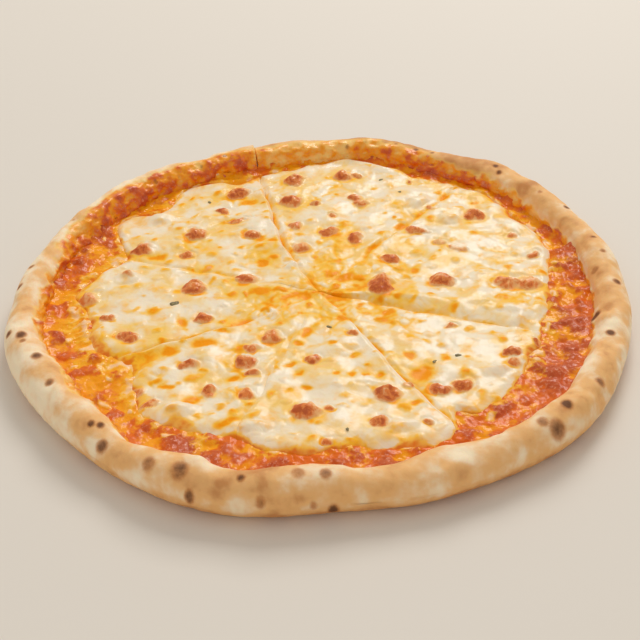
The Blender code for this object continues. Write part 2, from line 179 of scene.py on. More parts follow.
# Herb flecks: (x, y, length, turn)
HERBS = (
    (-70, -6, 5.4, 20), (10, -103, 3.0, 75), (4, -30, 3.0, 140), (62, -54, 3.4, 10), (51, -59, 2.6, 60),
    (-58, 90, 2.8, 100), (37, 107, 2.8, 35), (46, 93, 2.6, 160),
)
# Broad lumps in the sauce: (radius, angle, width)
SAUCE_LUMPS = ((124, 9, 17), (122, 160, 13), (115, 205, 14), (124, 32, 12), (123, 326, 12))
# Lumps of baked tomato in the sauce: (x, y, size)
TOMATO_LUMPS = (
    (-113, 66, 13), (-122, 37, 9), (-114, 24, 8), (-123, 17, 8), (-86, 109, 10), (-106, 92, 10),
    (-67, 122, 11), (-40, 121, 12), (-123, -29, 8), (-117, -42, 8), (-103, -45, 9), (-100, -73, 10),
    (-74, -92, 9), (-63, -107, 11), (-47, -115, 9), (-17, -119, 9), (25, -122, 9), (125, 26, 17),
    (121, 51, 10), (126, 57, 8), (127, 8, 8), (112, -16, 8), (119, -34, 8), (92, 92, 11), (106, 81, 10),
    (110, 73, 8), (114, -50, 7), (104, -63, 7), (98, -75, 7), (57, -108, 9), (88, -85, 6), (6, -121, 7),
    (-111, -57, 6), (-90, -84, 6), (75, -93, 6),
)
# Pools of orange oil in the sauce: (x, y, length, width, turn)
OIL_POOLS = (
    (-114, 49, 10, 8, 60), (-105, 40, 12, 8, 0), (-100, 9, 10, 7, 0), (-95, 89, 9, 8, 40),
    (-89, 97, 11, 7, 45), (-86, -51, 14, 10, 0), (-111, -31, 10, 8, 90), (-102, -30, 10, 7, 0),
    (-88, -79, 9, 6, 130), (-88, -90, 6, 5, 0), (-46, -108, 9, 5, 150), (15, -114, 15, 6, 5),
    (-28, -110, 8, 5, 0), (56, -97, 8, 6, 0), (115, 72, 9, 7, 120), (118, 39, 8, 8, 0),
    (128, -6, 9, 12, 0), (108, -26, 10, 8, 0), (117, 0, 10, 9, 0), (68, -103, 9, 6, 20),
    (115, -40, 8, 8, 0), (-35, -121, 9, 5, 160), (-70, 112, 8, 6, 0), (-118, 5, 7, 8, 0),
    (80, 100, 8, 6, 140), (-98, -44, 18, 12, 20), (-106, -8, 14, 12, 90), (-90, -66, 16, 10, 130),
)
# Bits of cheese that have run into the sauce: (x, y, length, width, turn)
STRAY_CHEESE = (
    (-109, 82, 9, 5, 50), (-112, 58, 5, 3, 80), (-120, -5, 7, 4, 90), (-96, -60, 6, 3, 120),
    (-84, -84, 5, 3, 140), (118, 18, 6, 4, 90), (114, -8, 6, 4, 70), (97, -58, 6, 3, 60),
    (-55, 118, 7, 4, 25), (75, 98, 7, 4, 130), (-112, -20, 16, 6, 100), (-104, -36, 12, 5, 60),
    (-118, -30, 8, 4, 80), (-96, -78, 9, 4, 135), (-66, -101, 10, 4, 150), (-89, -42, 26, 5, 165),
    (-100, -52, 12, 4, 100), (-84, -60, 12, 5, 30), (-112, -52, 6, 3, 30), (-20, -113, 9, 3, 0),
    (36, -113, 10, 4, 10), (72, -95, 9, 4, 40), (106, -34, 9, 4, 70), (113, 54, 8, 4, 120),
)

SMALL_SPOTS = 330
SPOT_TRIES = 6000
SPOT_FIELD = 118  # radius of the area that they lie in
SPOT_SIZES = (3, 7.5)
SPOT_SHAPES = (0.55, 0.95)  # width as a share of length
SPOT_TURNS = (15, 35)  # mean and spread of their turn
SPOT_SPACE = 3.2  # clear space round each
SPOT_SEED = 11
NOISE_SEED = 5
MERGE = 5.0  # how firmly spots that touch stay apart
NEAR = 1.6  # how many lengths from its middle a spot is still felt
MELT_RUN = 1.0  # how far the melted edge of the cheese lies beyond its even edge
MELT_CLEAR = 0.6  # least distance from the melted edge to the rim


def draw_small_spots():
    """Seeded small spots between the larger ones: rows of x, y, length, width, turn and strength."""
    draw = np.random.default_rng(SPOT_SEED)
    spots = []
    taken = [(x, y, width / 2) for x, y, _, width, *_ in BLISTERS + OIL_SPOTS]
    for _ in range(SPOT_TRIES):
        radius, angle = SPOT_FIELD * draw.random() ** 0.5, draw.uniform(0, 2 * np.pi)
        size, shape = draw.uniform(*SPOT_SIZES), draw.uniform(*SPOT_SHAPES)
        turn, strength = draw.normal(*SPOT_TURNS), draw.random()
        x, y = radius * np.cos(angle), radius * np.sin(angle)
        if all(hypot(x - other_x, y - other_y) > reach + SPOT_SPACE for other_x, other_y, reach in taken):
            spots.append((x, y, size, size * shape, turn, 0.15 + 0.85 * strength**1.5))
            taken.append((x, y, size / 2))
    return spots[:SMALL_SPOTS]


# ---------------------------------------------------------------- shapes that follow a rule


def bell(away, width):
    """1 where the distance is 0, fading away evenly on both sides."""
    return np.exp(-((away / width) ** 2))


def swell(angle, features):
    """Sum of the smooth swells at each angle."""
    total = np.zeros_like(angle, dtype=float)
    for middle, half_width, size in features:
        total += size * bell((angle - middle + 180) % 360 - 180, half_width)
    return total


def smooth(low, high, value):
    """0 up to low, 1 from high on, and a smooth rise between them."""
    share = np.clip((value - low) / (high - low), 0, 1)
    return share * share * (3 - 2 * share)


def rounded(share):
    """Height of a quarter circle, 0 at its start and 1 from share 1 on."""
    return np.sqrt(1 - (1 - np.clip(share, 0, 1)) ** 2)


def polar(radius, angle, height):
    """Places from their radius, angle and height."""
    angle = np.radians(angle)
    return np.stack(np.broadcast_arrays(radius * np.cos(angle), radius * np.sin(angle), height), axis=-1)


def polar_of(places):
    """Radius and angle of places."""
    return np.hypot(places[:, 0], places[:, 1]), np.degrees(np.arctan2(places[:, 1], places[:, 0]))


class Grain:
    """Smooth three-dimensional noise between about -1 and 1, the same on each run."""

    SIZE = 256

    def __init__(self, seed):
        draw = np.random.default_rng(seed)
        self.order = draw.permutation(self.SIZE)
        slopes = draw.normal(size=(self.SIZE, 3))
        self.slopes = slopes / np.linalg.norm(slopes, axis=1, keepdims=True)

    def __call__(self, points, length, offset=0.0):
        scaled = points / length + offset
        cell = np.floor(scaled).astype(int)
        local = scaled - cell
        fade = local**3 * (local * (local * 6 - 15) + 10)
        total = np.zeros(len(points))
        for corner in product((0, 1), repeat=3):
            key = np.zeros(len(points), dtype=int)
            for axis in range(3):
                key = self.order[(key + cell[:, axis] + corner[axis]) % self.SIZE]
            weight = np.prod(np.where(corner, fade, 1 - fade), axis=1)
            total += weight * np.sum(self.slopes[key] * (local - corner), axis=1)
        return 1.7 * total

    def layers(self, points, length, count, offset=0.0):
        """Noise with finer noise on it, each layer half as long and half as strong."""
        return sum(self(points, length / 2**i, offset + 7.3 * i) / 2**i for i in range(count))


GRAIN = Grain(NOISE_SEED)


def shift(flat, length, offset):
    """Uneven steps sideways, with which the outlines of spots turn ragged."""
    return np.stack([GRAIN(flat, length, offset), GRAIN(flat, length, offset + 5), 0 * flat[:, 2]], axis=1)


def wave(points, length, seed):
    """Smooth unevenness between about -1 and 1, in Blender's own noise."""
    scaled = points[:, :2] / length
    if np.ndim(seed) == 0:
        seed = np.full(len(points), float(seed))
    heights = (2 * noise.noise(Vector((x, y, z))) for (x, y), z in zip(scaled.tolist(), seed.tolist()))
    return np.fromiter(heights, float, len(points))


class Spots:
    """Oval spots that run together where they touch, and how a set of points lies to them.

    Away is 0 in a spot's middle and 1 at its edge; the lean grows from its near left to its far right,
    towards the light, and places painted light and shade.
    """

    def __init__(self, points, spots, scale=1.0):
        x, y = points[:, 0], points[:, 1]
        total = np.full(len(points), 1e-9)
        self.size, self.strength, self.lean_to_light = (np.zeros(len(points)) for _ in range(3))
        for middle_x, middle_y, length, width, turn, *strength in spots:
            aside, beyond = x - middle_x, y - middle_y
            near = np.flatnonzero((abs(aside) < NEAR * length) & (abs(beyond) < NEAR * length))
            aside, beyond = aside[near], beyond[near]
            cosine, sine = np.cos(np.radians(turn)), np.sin(np.radians(turn))
            lengthwise = (aside * cosine + beyond * sine) / (length / 2)
            crosswise = (beyond * cosine - aside * sine) / (width / 2)
            away = np.hypot(lengthwise, crosswise) / scale
            pull = np.exp(-MERGE * away)
            total[near] += pull
            self.size[near] += pull * width * scale
            self.strength[near] += pull * (strength[0] if strength else 1.0)
            self.lean_to_light[near] += pull * (0.6 * aside + 0.8 * beyond) / (width * scale / 2)
        self.away = -np.log(total) / MERGE
        for values in (self.size, self.strength, self.lean_to_light):
            values /= total

    def dome(self, steepness=2.2, bulge=0.65):
        """1 in the middle of the spots, rounding off to 0 at their edge."""
        return (1 - np.clip(self.away, 0, 1) ** steepness) ** bulge

    def fill(self, start=1.0, soft=0.25):
        """1 inside the spots, fading to 0 over a soft edge."""
        return smooth(start + soft, start - soft, self.away)

    def glow(self, reach=1.0):
        """1 in the middle of the spots, fading away evenly."""
        return bell(np.maximum(0, self.away), reach)

    def halo(self, reach):
        """1 inside the spots, fading away evenly round them."""
        return bell(np.maximum(0, self.away - 1), reach)


class Layout:
    """Where the edges and cuts of the pizza lie, in millimetres, from the sizes in the panel."""

    def __init__(self, sizes):
        for name in sizes.bl_rna.properties.keys():
            if name not in ("rna_type", "name"):
                setattr(self, name, getattr(sizes, name) / METRE)

    def outline_radius(self, angle):
        return self.radius + swell(angle, OUTLINE_SWELLS)

    def foot_radius(self, angle):
        """Radius where the rim's inner wall stands on the base."""
        return self.outline_radius(angle) - self.rim_width - swell(angle, WALL_SWELLS)

    def cheese_radius(self, angle):
        """The even edge of the cheese, which stops just short of the rim."""
        reach = self.cheese_reach + swell(angle, CHEESE_SWELLS)
        return np.minimum(reach, self.foot_radius(angle) - self.cheese_clear)

    def melted_edge(self, angle):
        """The edge of the cheese with the small tongues that have run into the sauce."""
        ring = polar(self.cheese_reach, angle, 0)
        small_tongues = GRAIN(ring, 4.6, 9.0) * smooth(-0.3, 0.7, GRAIN(ring, 21, 6.0))
        tongues = 3.2 * GRAIN(ring, 11.0, 4.0) + small_tongues
        edge = self.cheese_radius(angle) + MELT_RUN + tongues
        return np.minimum(edge, self.foot_radius(angle) - MELT_CLEAR)

    def cut_angle(self, cut, radius):
        """A cut turns towards the middle, and wanders a little on its way to the rim."""
        angle, turn = cut
        wander = self.cut_wander * GRAIN(polar(radius, angle % 360, 0), 13, 0.37)
        aside = np.degrees(wander / np.maximum(radius, 12)) * smooth(4, 16, radius)
        return angle + turn * np.maximum(0.0, 1 - radius / self.radius) ** 2 + aside


def slice_cuts(index):
    """The first and the last cut of a slice, the last at the larger angle."""
    first = CUTS[index]
    angle, turn = CUTS[(index + 1) % len(CUTS)]
    return first, (angle if angle > first[0] else angle + 360, turn)


# ---------------------------------------------------------------- modelling helpers

MERGED = 0.001  # distance within which vertices become one
BLADE_REACH = 1.1  # of the pizza's radius, for the blade that parts the rim
BLADE_HEIGHT = 3.0  # of the rim's height
BLADE_BENDS = 9


def deselect_all():
    for piece in bpy.context.view_layer.objects:
        piece.select_set(False)


def added(name, add, **options):
    """An object made by one of the operators of the Add menu."""
    deselect_all()
    add(**options)
    piece = bpy.context.object
    piece.name = piece.data.name = name
    return piece


def new_grid(name, columns, rows):
    """A flat grid, and each vertex's share along X and Y."""
    add = bpy.ops.mesh.primitive_grid_add
    piece = added(name, add, x_subdivisions=columns, y_subdivisions=rows, size=2)
    places = vertex_places(piece.data)
    return piece, (places[:, 0] + 1) / 2, (places[:, 1] + 1) / 2


def vertex_places(mesh):
    places = np.empty(len(mesh.vertices) * 3)
    mesh.vertices.foreach_get("co", places)
    return places.reshape(-1, 3)


def set_places(mesh, places):
    mesh.vertices.foreach_set("co", np.ascontiguousarray(places, dtype=np.float32).ravel())
    mesh.update()


def set_attributes(mesh, fields):
    for name, values in fields.items():
        layer = mesh.attributes.new(name, "FLOAT", "POINT")
        layer.data.foreach_set("value", np.ascontiguousarray(values, dtype=np.float32))


def close_below(height):
    """Draws the rim of the open sheet just made down to a height and fills it, so that it is a solid."""
    bpy.ops.object.mode_set(mode="EDIT")
    bpy.ops.mesh.select_mode(type="EDGE")
    bpy.ops.mesh.select_all(action="SELECT")
    bpy.ops.mesh.region_to_loop()
    bpy.ops.mesh.extrude_edges_move()
    bpy.ops.transform.resize(value=(1, 1, 0), center_override=(0, 0, height))
    bpy.ops.mesh.edge_face_add()
    bpy.ops.mesh.select_all(action="SELECT")
    bpy.ops.mesh.normals_make_consistent(inside=False)
    bpy.ops.object.mode_set(mode="OBJECT")


def turn_profile(name, profile, steps):
    """A closed solid turned about Z from a profile of (radius, height) that starts and ends on the axis."""
    piece = added(name, bpy.ops.mesh.primitive_circle_add, vertices=len(profile), radius=1)
    set_places(piece.data, np.array([(radius, 0, height) for radius, height in profile]))
    for vertex in piece.data.vertices:
        vertex.select = vertex.co.x < 1e-6
    for edge in piece.data.edges:
        edge.select = all(piece.data.vertices[index].select for index in edge.vertices)
    bpy.ops.object.mode_set(mode="EDIT")
    bpy.ops.mesh.select_mode(type="EDGE")
    bpy.ops.mesh.delete(type="EDGE")
    bpy.ops.mesh.select_all(action="SELECT")
    bpy.ops.mesh.spin(steps=steps, angle=radians(360), center=(0, 0, 0), axis=(0, 0, 1))
    bpy.ops.mesh.select_all(action="SELECT")
    bpy.ops.mesh.remove_doubles(threshold=MERGED)
    bpy.ops.mesh.normals_make_consistent(inside=False)
    bpy.ops.object.mode_set(mode="OBJECT")
    return piece


def select_only(piece):
    deselect_all()
    piece.select_set(True)
    bpy.context.view_layer.objects.active = piece


def apply_all(piece):
    select_only(piece)
    for modifier in list(piece.modifiers):
        bpy.ops.object.modifier_apply(modifier=modifier.name)


def finish_piece(piece, material, slot, *nodes):
    """Takes a shaped piece to metres, gives it its finish and puts it in place of its nodes."""
    piece.data.transform(Matrix.Scale(METRE, 4))
    piece.data.materials.clear()
    piece.data.materials.append(material)
    select_only(piece)
    bpy.ops.object.shade_smooth()
    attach(piece, "root")
    if nodes:
        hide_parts(*nodes)


def arc(centre, radii, first, last, segments):
    """Points on part of an ellipse, the first one left out."""
    turns = np.radians(np.linspace(first, last, segments + 1)[1:])
    return [(centre[0] + radii[0] * np.cos(turn), centre[1] + radii[1] * np.sin(turn)) for turn in turns]


def make_blade(lay, index, slit):
    """A thin upright blade along a cut, from the middle out."""
    cut = CUTS[index]
    length = lay.cheese_radius(float(cut[0])) - lay.cut_short
    if index == THROUGH_CUT:
        length = BLADE_REACH * lay.radius
    blade = added(f"blade_{index + 1}", bpy.ops.mesh.primitive_cube_add, size=1)
    bpy.ops.object.mode_set(mode="EDIT")
    bpy.ops.mesh.select_all(action="SELECT")
    bpy.ops.mesh.subdivide(number_cuts=BLADE_BENDS)
    bpy.ops.object.mode_set(mode="OBJECT")
    places = vertex_places(blade.data)
    radius = length * (places[:, 0] + 0.5)
    angle = lay.cut_angle(cut, radius)
    middle = polar(radius, angle, BLADE_HEIGHT * lay.rim_height * places[:, 2])
    set_places(blade.data, middle + polar(slit * places[:, 1], angle + 90, 0))
    return blade


def cut_with(piece, blades):
    """Cuts a piece with blades, and removes them."""
    group = bpy.data.collections.new("blades")
    bpy.context.scene.collection.children.link(group)
    for blade in blades:
        group.objects.link(blade)
    slit = piece.modifiers.new("Cuts", "BOOLEAN")
    slit.operation = "DIFFERENCE"
    slit.operand_type = "COLLECTION"
    slit.collection = group
    slit.solver = "MANIFOLD"
    apply_all(piece)
    for blade in blades:
        bpy.data.objects.remove(blade)
    bpy.data.collections.remove(group)


# ---------------------------------------------------------------- shader helpers


class Signal:
    """An output socket that takes part in Python expressions, each of which adds a Math node."""

    def __init__(self, finish, socket):
        self.finish = finish
        self.socket = socket

    def _math(self, operation, first, second):
        return self.finish.add("ShaderNodeMath", {"operation": operation}, {0: first, 1: second})

    def __add__(self, other):
        return self._math("ADD", self, other)

    def __radd__(self, other):
        return self._math("ADD", other, self)

    def __sub__(self, other):
        return self._math("SUBTRACT", self, other)

    def __rsub__(self, other):
        return self._math("SUBTRACT", other, self)

    def __mul__(self, other):
        return self._math("MULTIPLY", self, other)

    def __rmul__(self, other):
        return self._math("MULTIPLY", other, self)

    def between(self, low, high, first=0.0, last=1.0):
        """first up to low, last from high on, and a smooth change between them."""
        settings = {"interpolation_type": "SMOOTHSTEP"}
        sockets = {"Value": self, "From Min": low, "From Max": high, "To Min": first, "To Max": last}
        return self.finish.add("ShaderNodeMapRange", settings, sockets)


class Finish:
    """A material in the making: adds nodes, sets and links their sockets, and gives Signals."""

    def __init__(self, name):
        self.material = bpy.data.materials.new(name)
        self.material.use_nodes = True
        self.tree = self.material.node_tree
        self.tree.nodes.clear()
        self.place = self.add("ShaderNodeTexCoord", {}, {}, "Object")

    def add(self, kind, settings, sockets, output=0):
        """Adds a node of any type, with its settings and with values or links for its sockets."""
        node = self.tree.nodes.new(kind)
        for name, value in settings.items():
            setattr(node, name, value)
        for name, value in sockets.items():
            if isinstance(value, Signal):
                self.tree.links.new(value.socket, node.inputs[name])
            elif isinstance(value, (tuple, list)) and node.inputs[name].type == "RGBA":
                node.inputs[name].default_value = (*value[:3], 1)
            else:
                node.inputs[name].default_value = value
        return Signal(self, node.outputs[output]) if node.outputs else None

    def attributes(self, *names):
        """What the piece's own values of these names are."""
        return [self.add("ShaderNodeAttribute", {"attribute_name": name}, {}, "Fac") for name in names]

    def noise(self, length, detail=2.0, roughness=0.5, distortion=0.0):
        """Noise between about -0.5 and 0.5, with features of a length in millimetres."""
        sockets = {"Vector": self.place, "Scale": 1 / (length * METRE), "Detail": detail}
        sockets.update({"Roughness": roughness, "Distortion": distortion})
        return self.add("ShaderNodeTexNoise", {}, sockets) - 0.5

    def blend(self, first, second, factor):
        """A colour between two colours."""
        settings = {"data_type": "RGBA", "clamp_factor": True}
        return self.add("ShaderNodeMix", settings, {0: factor, 6: first, 7: second}, 2)

    def coats(self, colour, *coats):
        """A colour with coats over it: each a colour or a blended one, and how far it covers."""
        base = linear(colour)
        for coat, cover in coats:
            base = self.blend(base, coat if isinstance(coat, Signal) else linear(coat), cover)
        return base

    def bump(self, height, strength, distance, normal=None):
        sockets = {"Height": height, "Strength": strength, "Distance": distance * METRE}
        if normal is not None:
            sockets["Normal"] = normal
        return self.add("ShaderNodeBump", {}, sockets)

    def surface(self, **sockets):
        """The Principled shader, with spaces in its socket names written as underscores."""
        named = {name.replace("_", " "): value for name, value in sockets.items()}
        settings = {"subsurface_method": "RANDOM_WALK"}
        shader = self.add("ShaderNodeBsdfPrincipled", settings, named)
        self.add("ShaderNodeOutputMaterial", {}, {"Surface": shader})
        return self.material


def linear(colour):
    """A colour as it is picked on screen, taken to the shader's own scale."""
    return tuple(Color(colour).from_srgb_to_scene_linear())


def shown(red, green, blue, name, description):
    """A colour property, from the shares of 255 that it shows on screen."""
    return FloatVectorProperty(
        name=name, description=description, subtype="COLOR_GAMMA", size=3, min=0, max=1,
        default=(red / 255, green / 255, blue / 255),
    )


def millimetres(size, name, description):
    """A length property, which the panel shows in the units of the scene."""
    return FloatProperty(
        name=name, description=description, unit="LENGTH", min=0, precision=4, default=size * METRE,
    )


def number(default, name, description, **options):
    return FloatProperty(name=name, description=description, default=default, **options)


# ---------------------------------------------------------------- settings


class PizzaSizes(bpy.types.PropertyGroup):
    """Driving sizes of the pizza."""

    radius: millimetres(149.1, "Radius", "Middle of the pizza to the outside of the rim")
    rim_width: millimetres(17.5, "Rim Width", "Width of the puffed rim")
    rim_height: millimetres(19.0, "Rim Height", "Height of the puffed rim")
    rim_crest_in: millimetres(9.5, "Rim Crest", "How far inside its outer edge the rim is highest")
    rim_waist: millimetres(8.7, "Rim Waist", "Height at which the rim is widest")
    rim_contact_in: millimetres(8.0, "Rim Contact", "How far inside its outer edge the rim leaves the table")
    base: millimetres(4.5, "Base Thickness", "Thickness of the dough below the sauce")
    sauce_top: millimetres(6.9, "Sauce Top", "Height of the sauce below the cheese")
    sauce_ring_top: millimetres(7.7, "Sauce Ring", "Height of the sauce in the ring that shows")
    cheese_top: millimetres(10.2, "Cheese Top", "Height of the cheese between its blisters")
    cheese_lip: millimetres(0.3, "Cheese Lip", "Height of the cheese's thin edge")
    cheese_reach: millimetres(110.0, "Cheese Reach", "Middle of the pizza to the edge of the cheese")
    cheese_clear: millimetres(1.6, "Cheese Clearance", "Least distance from the cheese to the rim")
    cut_short: millimetres(4.0, "Cut Short", "How far inside the cheese's edge a cut stops")
    cut_wander: millimetres(1.7, "Cut Wander", "How far a cut wanders from a straight line")


class PizzaColours(bpy.types.PropertyGroup):
    """Colours as they look on screen in plain light."""

    crust: shown(253, 229, 192, "Crust", "Pale crust")
    crust_gold: shown(240, 184, 118, "Golden Crust", "Crust that has begun to brown")
    crust_brown: shown(198, 128, 70, "Brown Crust", "Browned crust round a charred mark")
    char: shown(98, 58, 32, "Char", "Charred marks")
    stain: shown(255, 202, 112, "Stain", "Oil and cheese that have baked onto the rim")
    stain_dark: shown(196, 84, 46, "Dark Stain", "Sauce that has baked onto the rim")
    sauce: shown(228, 108, 18, "Sauce", "Tomato sauce")
    sauce_dark: shown(192, 86, 44, "Dark Sauce", "Baked tomato in the sauce")
    # Painted highlight: a light pink laid on the peaks of baked tomato, in the sauce and on the rim, where
    # the light would glint
    painted_sauce_highlight: shown(240, 170, 132, "Painted Sauce Highlight", "Painted highlight on baked tomato")
    sauce_oil: shown(248, 158, 10, "Oil", "Orange oil on the sauce")
    cheese: shown(248, 229, 198, "Cheese", "Pale melted cheese")
    cheese_yellow: shown(250, 203, 106, "Yellow Cheese", "Thin or oily cheese")
    cheese_peach: shown(252, 206, 160, "Peach Cheese", "Cheese that has begun to colour")
    cheese_gold: shown(255, 190, 48, "Golden Oil", "Thin oil round the orange spots")
    cheese_oil: shown(250, 152, 0, "Cheese Oil", "Orange oil in the hollows of the cheese")
    cheese_amber: shown(245, 182, 120, "Amber Cheese", "Edge of a browned blister")
    cheese_brown: shown(230, 132, 64, "Brown Cheese", "Browned blister")
    cheese_dark: shown(198, 97, 48, "Dark Cheese", "Darkest part of a blister")
    herb: shown(150, 132, 76, "Herb", "Dried herb")


class StageSettings(bpy.types.PropertyGroup):
    """The floor, lights and camera."""

    floor: shown(226, 216, 202, "Floor", "Colour of the plain floor")
    sky: number(0.57, "Sky", "Strength of the even light", min=0)
    window: number(36, "Window", "Power of the large soft light", min=0, unit="POWER")
    fill: number(1.0, "Fill", "Power of the light from the front", min=0, unit="POWER")
    camera_height: number(
        radians(36), "Camera Elevation", "Angle at which the camera looks down", subtype="ANGLE",
    )
    camera_roll: number(radians(-2.11), "Camera Roll", "Turn of the camera about its view", subtype="ANGLE")
    camera_distance: millimetres(601, "Camera Distance", "Camera to the point that it looks at")
    camera_aim: number(-0.0099, "Camera Aim", "How far behind the middle the camera looks", unit="LENGTH")
    camera_focal: number(69.525, "Focal Length", "Focal length", unit="CAMERA")


# ---------------------------------------------------------------- finishes


MOIST = {"IOR": 1.4, "Subsurface_Scale": 1.0}  # what the finishes of crust, sauce and cheese share


def crust_finish(colours):
    finish = Finish("baked_crust")
    bake, char, stain, red = finish.attributes("bake", "char", "stain", "red")
    speckle = finish.noise(1.8, 3, 0.6)
    flour = finish.noise(6, 4, 0.6, 0.4)
    patch = finish.noise(16, 3, 0.55, 0.3)
    tone = bake + 1.8 * patch + 0.5 * flour + 0.2 * speckle
    soaked = stain * (1 + 1.6 * flour + 0.8 * speckle)
    ragged = char * (1 + 0.5 * speckle + 0.8 * flour)
    base = finish.coats(
        colours.crust,
        (colours.crust_gold, tone.between(0.0, 0.8)),
        (colours.crust_brown, 0.75 * tone.between(0.75, 1.4)),
        (colours.cheese_yellow, 0.6 * soaked.between(0.05, 0.4)),
        (smear(finish, colours, red + 1.2 * flour + 0.6 * speckle, speckle), soaked.between(0.25, 0.8)),
        (colours.crust_brown, ragged.between(0.12, 0.55) * soaked.between(0.3, 0.8, 0.8, 0.1)),
        (colours.char, 0.9 * ragged.between(0.4, 1.0)),
    )
    skin = finish.bump(finish.noise(0.8, 4, 0.65), 0.2, 0.35)
    return finish.surface(
        Base_Color=base, Roughness=soaked.between(0.3, 0.9, 0.72, 0.36),
        Normal=finish.bump(finish.noise(3.2, 2, 0.5), 0.3, 0.9, skin),
        Subsurface_Weight=0.15, Subsurface_Radius=(0.004, 0.002, 0.001), Specular_IOR_Level=0.35,
        Coat_Weight=soaked.between(0.3, 0.9, 0.0, 0.2), Coat_Roughness=0.16, **MOIST,
    )


def smear(finish, colours, tomato, speckle):
    """Colour of what has baked onto the rim, from oil and cheese to sauce, with a painted highlight on the
    baked tomato.
    """
    return finish.coats(
        colours.stain,
        (colours.sauce_oil, tomato.between(-0.6, 0.3)),
        (colours.sauce, tomato.between(0.25, 0.85)),
        (colours.stain_dark, tomato.between(0.6, 1.35)),
        # painted highlight on the peaks of the baked tomato on the rim
        (colours.painted_sauce_highlight, 0.5 * (speckle.between(0.02, 0.22) * tomato.between(0.1, 0.8))),
    )


def sauce_finish(colours):
    finish = Finish("tomato_sauce")
    dark, oil, melt = finish.attributes("dark", "oil", "melt")
    fine = finish.noise(1.4, 3, 0.6, 0.3)
    pulp = finish.noise(3, 4, 0.6, 0.5)
    patch = finish.noise(9, 3, 0.5)
    oily = oil + 1.4 * pulp + 2.4 * patch + 0.2 * fine
    tomato = dark - 1.4 * pulp - 2.2 * patch + 0.2 * fine
    pale = melt + 1.2 * pulp + 0.8 * patch + 0.2 * fine
    base = finish.coats(
        colours.sauce,
        (colours.sauce_oil, oily.between(0.1, 0.9)),
        (colours.sauce_dark, 0.95 * tomato.between(-0.05, 1.2)),
        # painted highlight on the peaks of the baked tomato
        (colours.painted_sauce_highlight, 0.65 * (fine.between(0.02, 0.22) * tomato.between(-0.2, 0.7))),
        (colours.cheese_gold, 0.8 * pale.between(0.25, 0.7)),
        (colours.cheese_peach, 0.9 * pale.between(0.55, 1.05)),
    )
    return finish.surface(
        Base_Color=base, Roughness=pulp.between(-0.15, 0.15, 0.35, 0.6),
        Normal=finish.bump(pulp, 0.4, 0.8, finish.bump(fine, 0.2, 0.35)),
        Subsurface_Weight=0.1, Subsurface_Radius=(0.0015, 0.0006, 0.0003), Specular_IOR_Level=0.08,
        Coat_Weight=0.25, Coat_Roughness=0.08, **MOIST,
    )


def cheese_finish(colours):
    finish = Finish("melted_cheese")
    brown, oil, warm, thin = finish.attributes("brown", "oil", "warm", "thin")
    fine = finish.noise(1.6, 2, 0.5, 0.4)
    crumb = finish.noise(2.6, 3, 0.6, 0.8)
    grain = finish.noise(4, 1.5, 0.5, 0.5)
    blotch = finish.noise(9, 2, 0.5, 0.5)
    toned = warm + 1.8 * blotch + 0.6 * grain
    oily = oil * (1 + 1.2 * grain) + 0.2 * grain
    soaked = thin + grain + 1.6 * blotch
    toasted = brown * (1 + grain)
    scorch = toasted + 2.1 * crumb + grain
    base = finish.coats(
        colours.cheese,
        (colours.cheese_yellow, toned.between(0.1, 1.1)),
        (colours.cheese_peach, 0.6 * (blotch + 0.4 * grain).between(0.0, 0.25)),
        (colours.cheese_gold, 0.9 * oily.between(0.1, 0.6)),
        (colours.cheese_oil, oily.between(0.4, 0.95)),
        (colours.cheese_gold, 0.85 * soaked.between(0.15, 0.6)),
        (colours.sauce, 0.85 * soaked.between(0.55, 1.1)),
        (colours.cheese_amber, 0.9 * toasted.between(0.05, 0.5)),
        (colours.cheese_brown, toasted.between(0.2, 0.6) * scorch.between(0.25, 0.85)),
        (colours.cheese_dark, toasted.between(0.4, 0.8) * scorch.between(0.8, 1.35)),
    )
    gloss = oily.between(0.05, 0.5, 0.28, 0.08) + toasted.between(0.2, 0.7, 0.0, 0.2)
    return finish.surface(
        Base_Color=base, Roughness=(grain + 0.6 * blotch).between(-0.2, 0.2, 0.38, 0.6),
        Normal=finish.bump(grain, 0.3, 0.9, finish.bump(fine, 0.1, 0.4)),
        Subsurface_Weight=0.12, Subsurface_Radius=(0.0015, 0.001, 0.0005), Specular_IOR_Level=0.06,
        Coat_Weight=gloss, Coat_Roughness=0.13, **MOIST,
    )


def herb_finish(colours):
    finish = Finish("dried_herb")
    leaf = finish.noise(0.9, 3, 0.6)
    light = linear(colours.herb)
    base = finish.blend(light, tuple(0.4 * part for part in light), leaf.between(-0.15, 0.15))
    return finish.surface(Base_Color=base, Roughness=0.6, Normal=finish.bump(leaf, 0.4, 0.3))


# ---------------------------------------------------------------- dough


RIM_POINTS = (34, 22, 12)  # along the inner side, the outer side and below
FOOT_STEPS = 5
UNDER_RINGS = 22
DOUGH_STEPS = 1000
PUFF_DEPTH = 1.2
PUFF_LENGTH = 24.0
MOST_PUFF = -0.05  # so that the outer side stays inside the box of the solids
MOST_HEIGHT = 20.4
DOUGH_SLIT = 0.8  # width of the cuts through the dough
STEP_UP = 1.4  # how far one side of the parted rim has risen
STEP_DOWN = 0.5  # and how far the other has sunk
STAIN_HEIGHT = 5.8  # of the stain on the rim's inner wall, above the base
# Where something is stronger than elsewhere: (angle, half width in degrees, how much)
STAIN_CLIMBS = ((146, 22, 10.8), (112, 18, 9.6), (78, 20, 9.4), (44, 18, 3.6), (182, 14, 4.0), (215, 18, 6.5))
STAIN_REDS = ((138, 26, 0.4), (62, 12, 0.3), (90, 16, -0.6), (110, 9, 0.3), (30, 20, -0.1), (215, 20, -0.6))
RIM_BROWNS = (
    (250, 60, 0.25), (285, 26, 0.45), (25, 35, 0.25), (335, 22, 0.25), (66, 28, 0.85), (200, 16, -0.1),
)
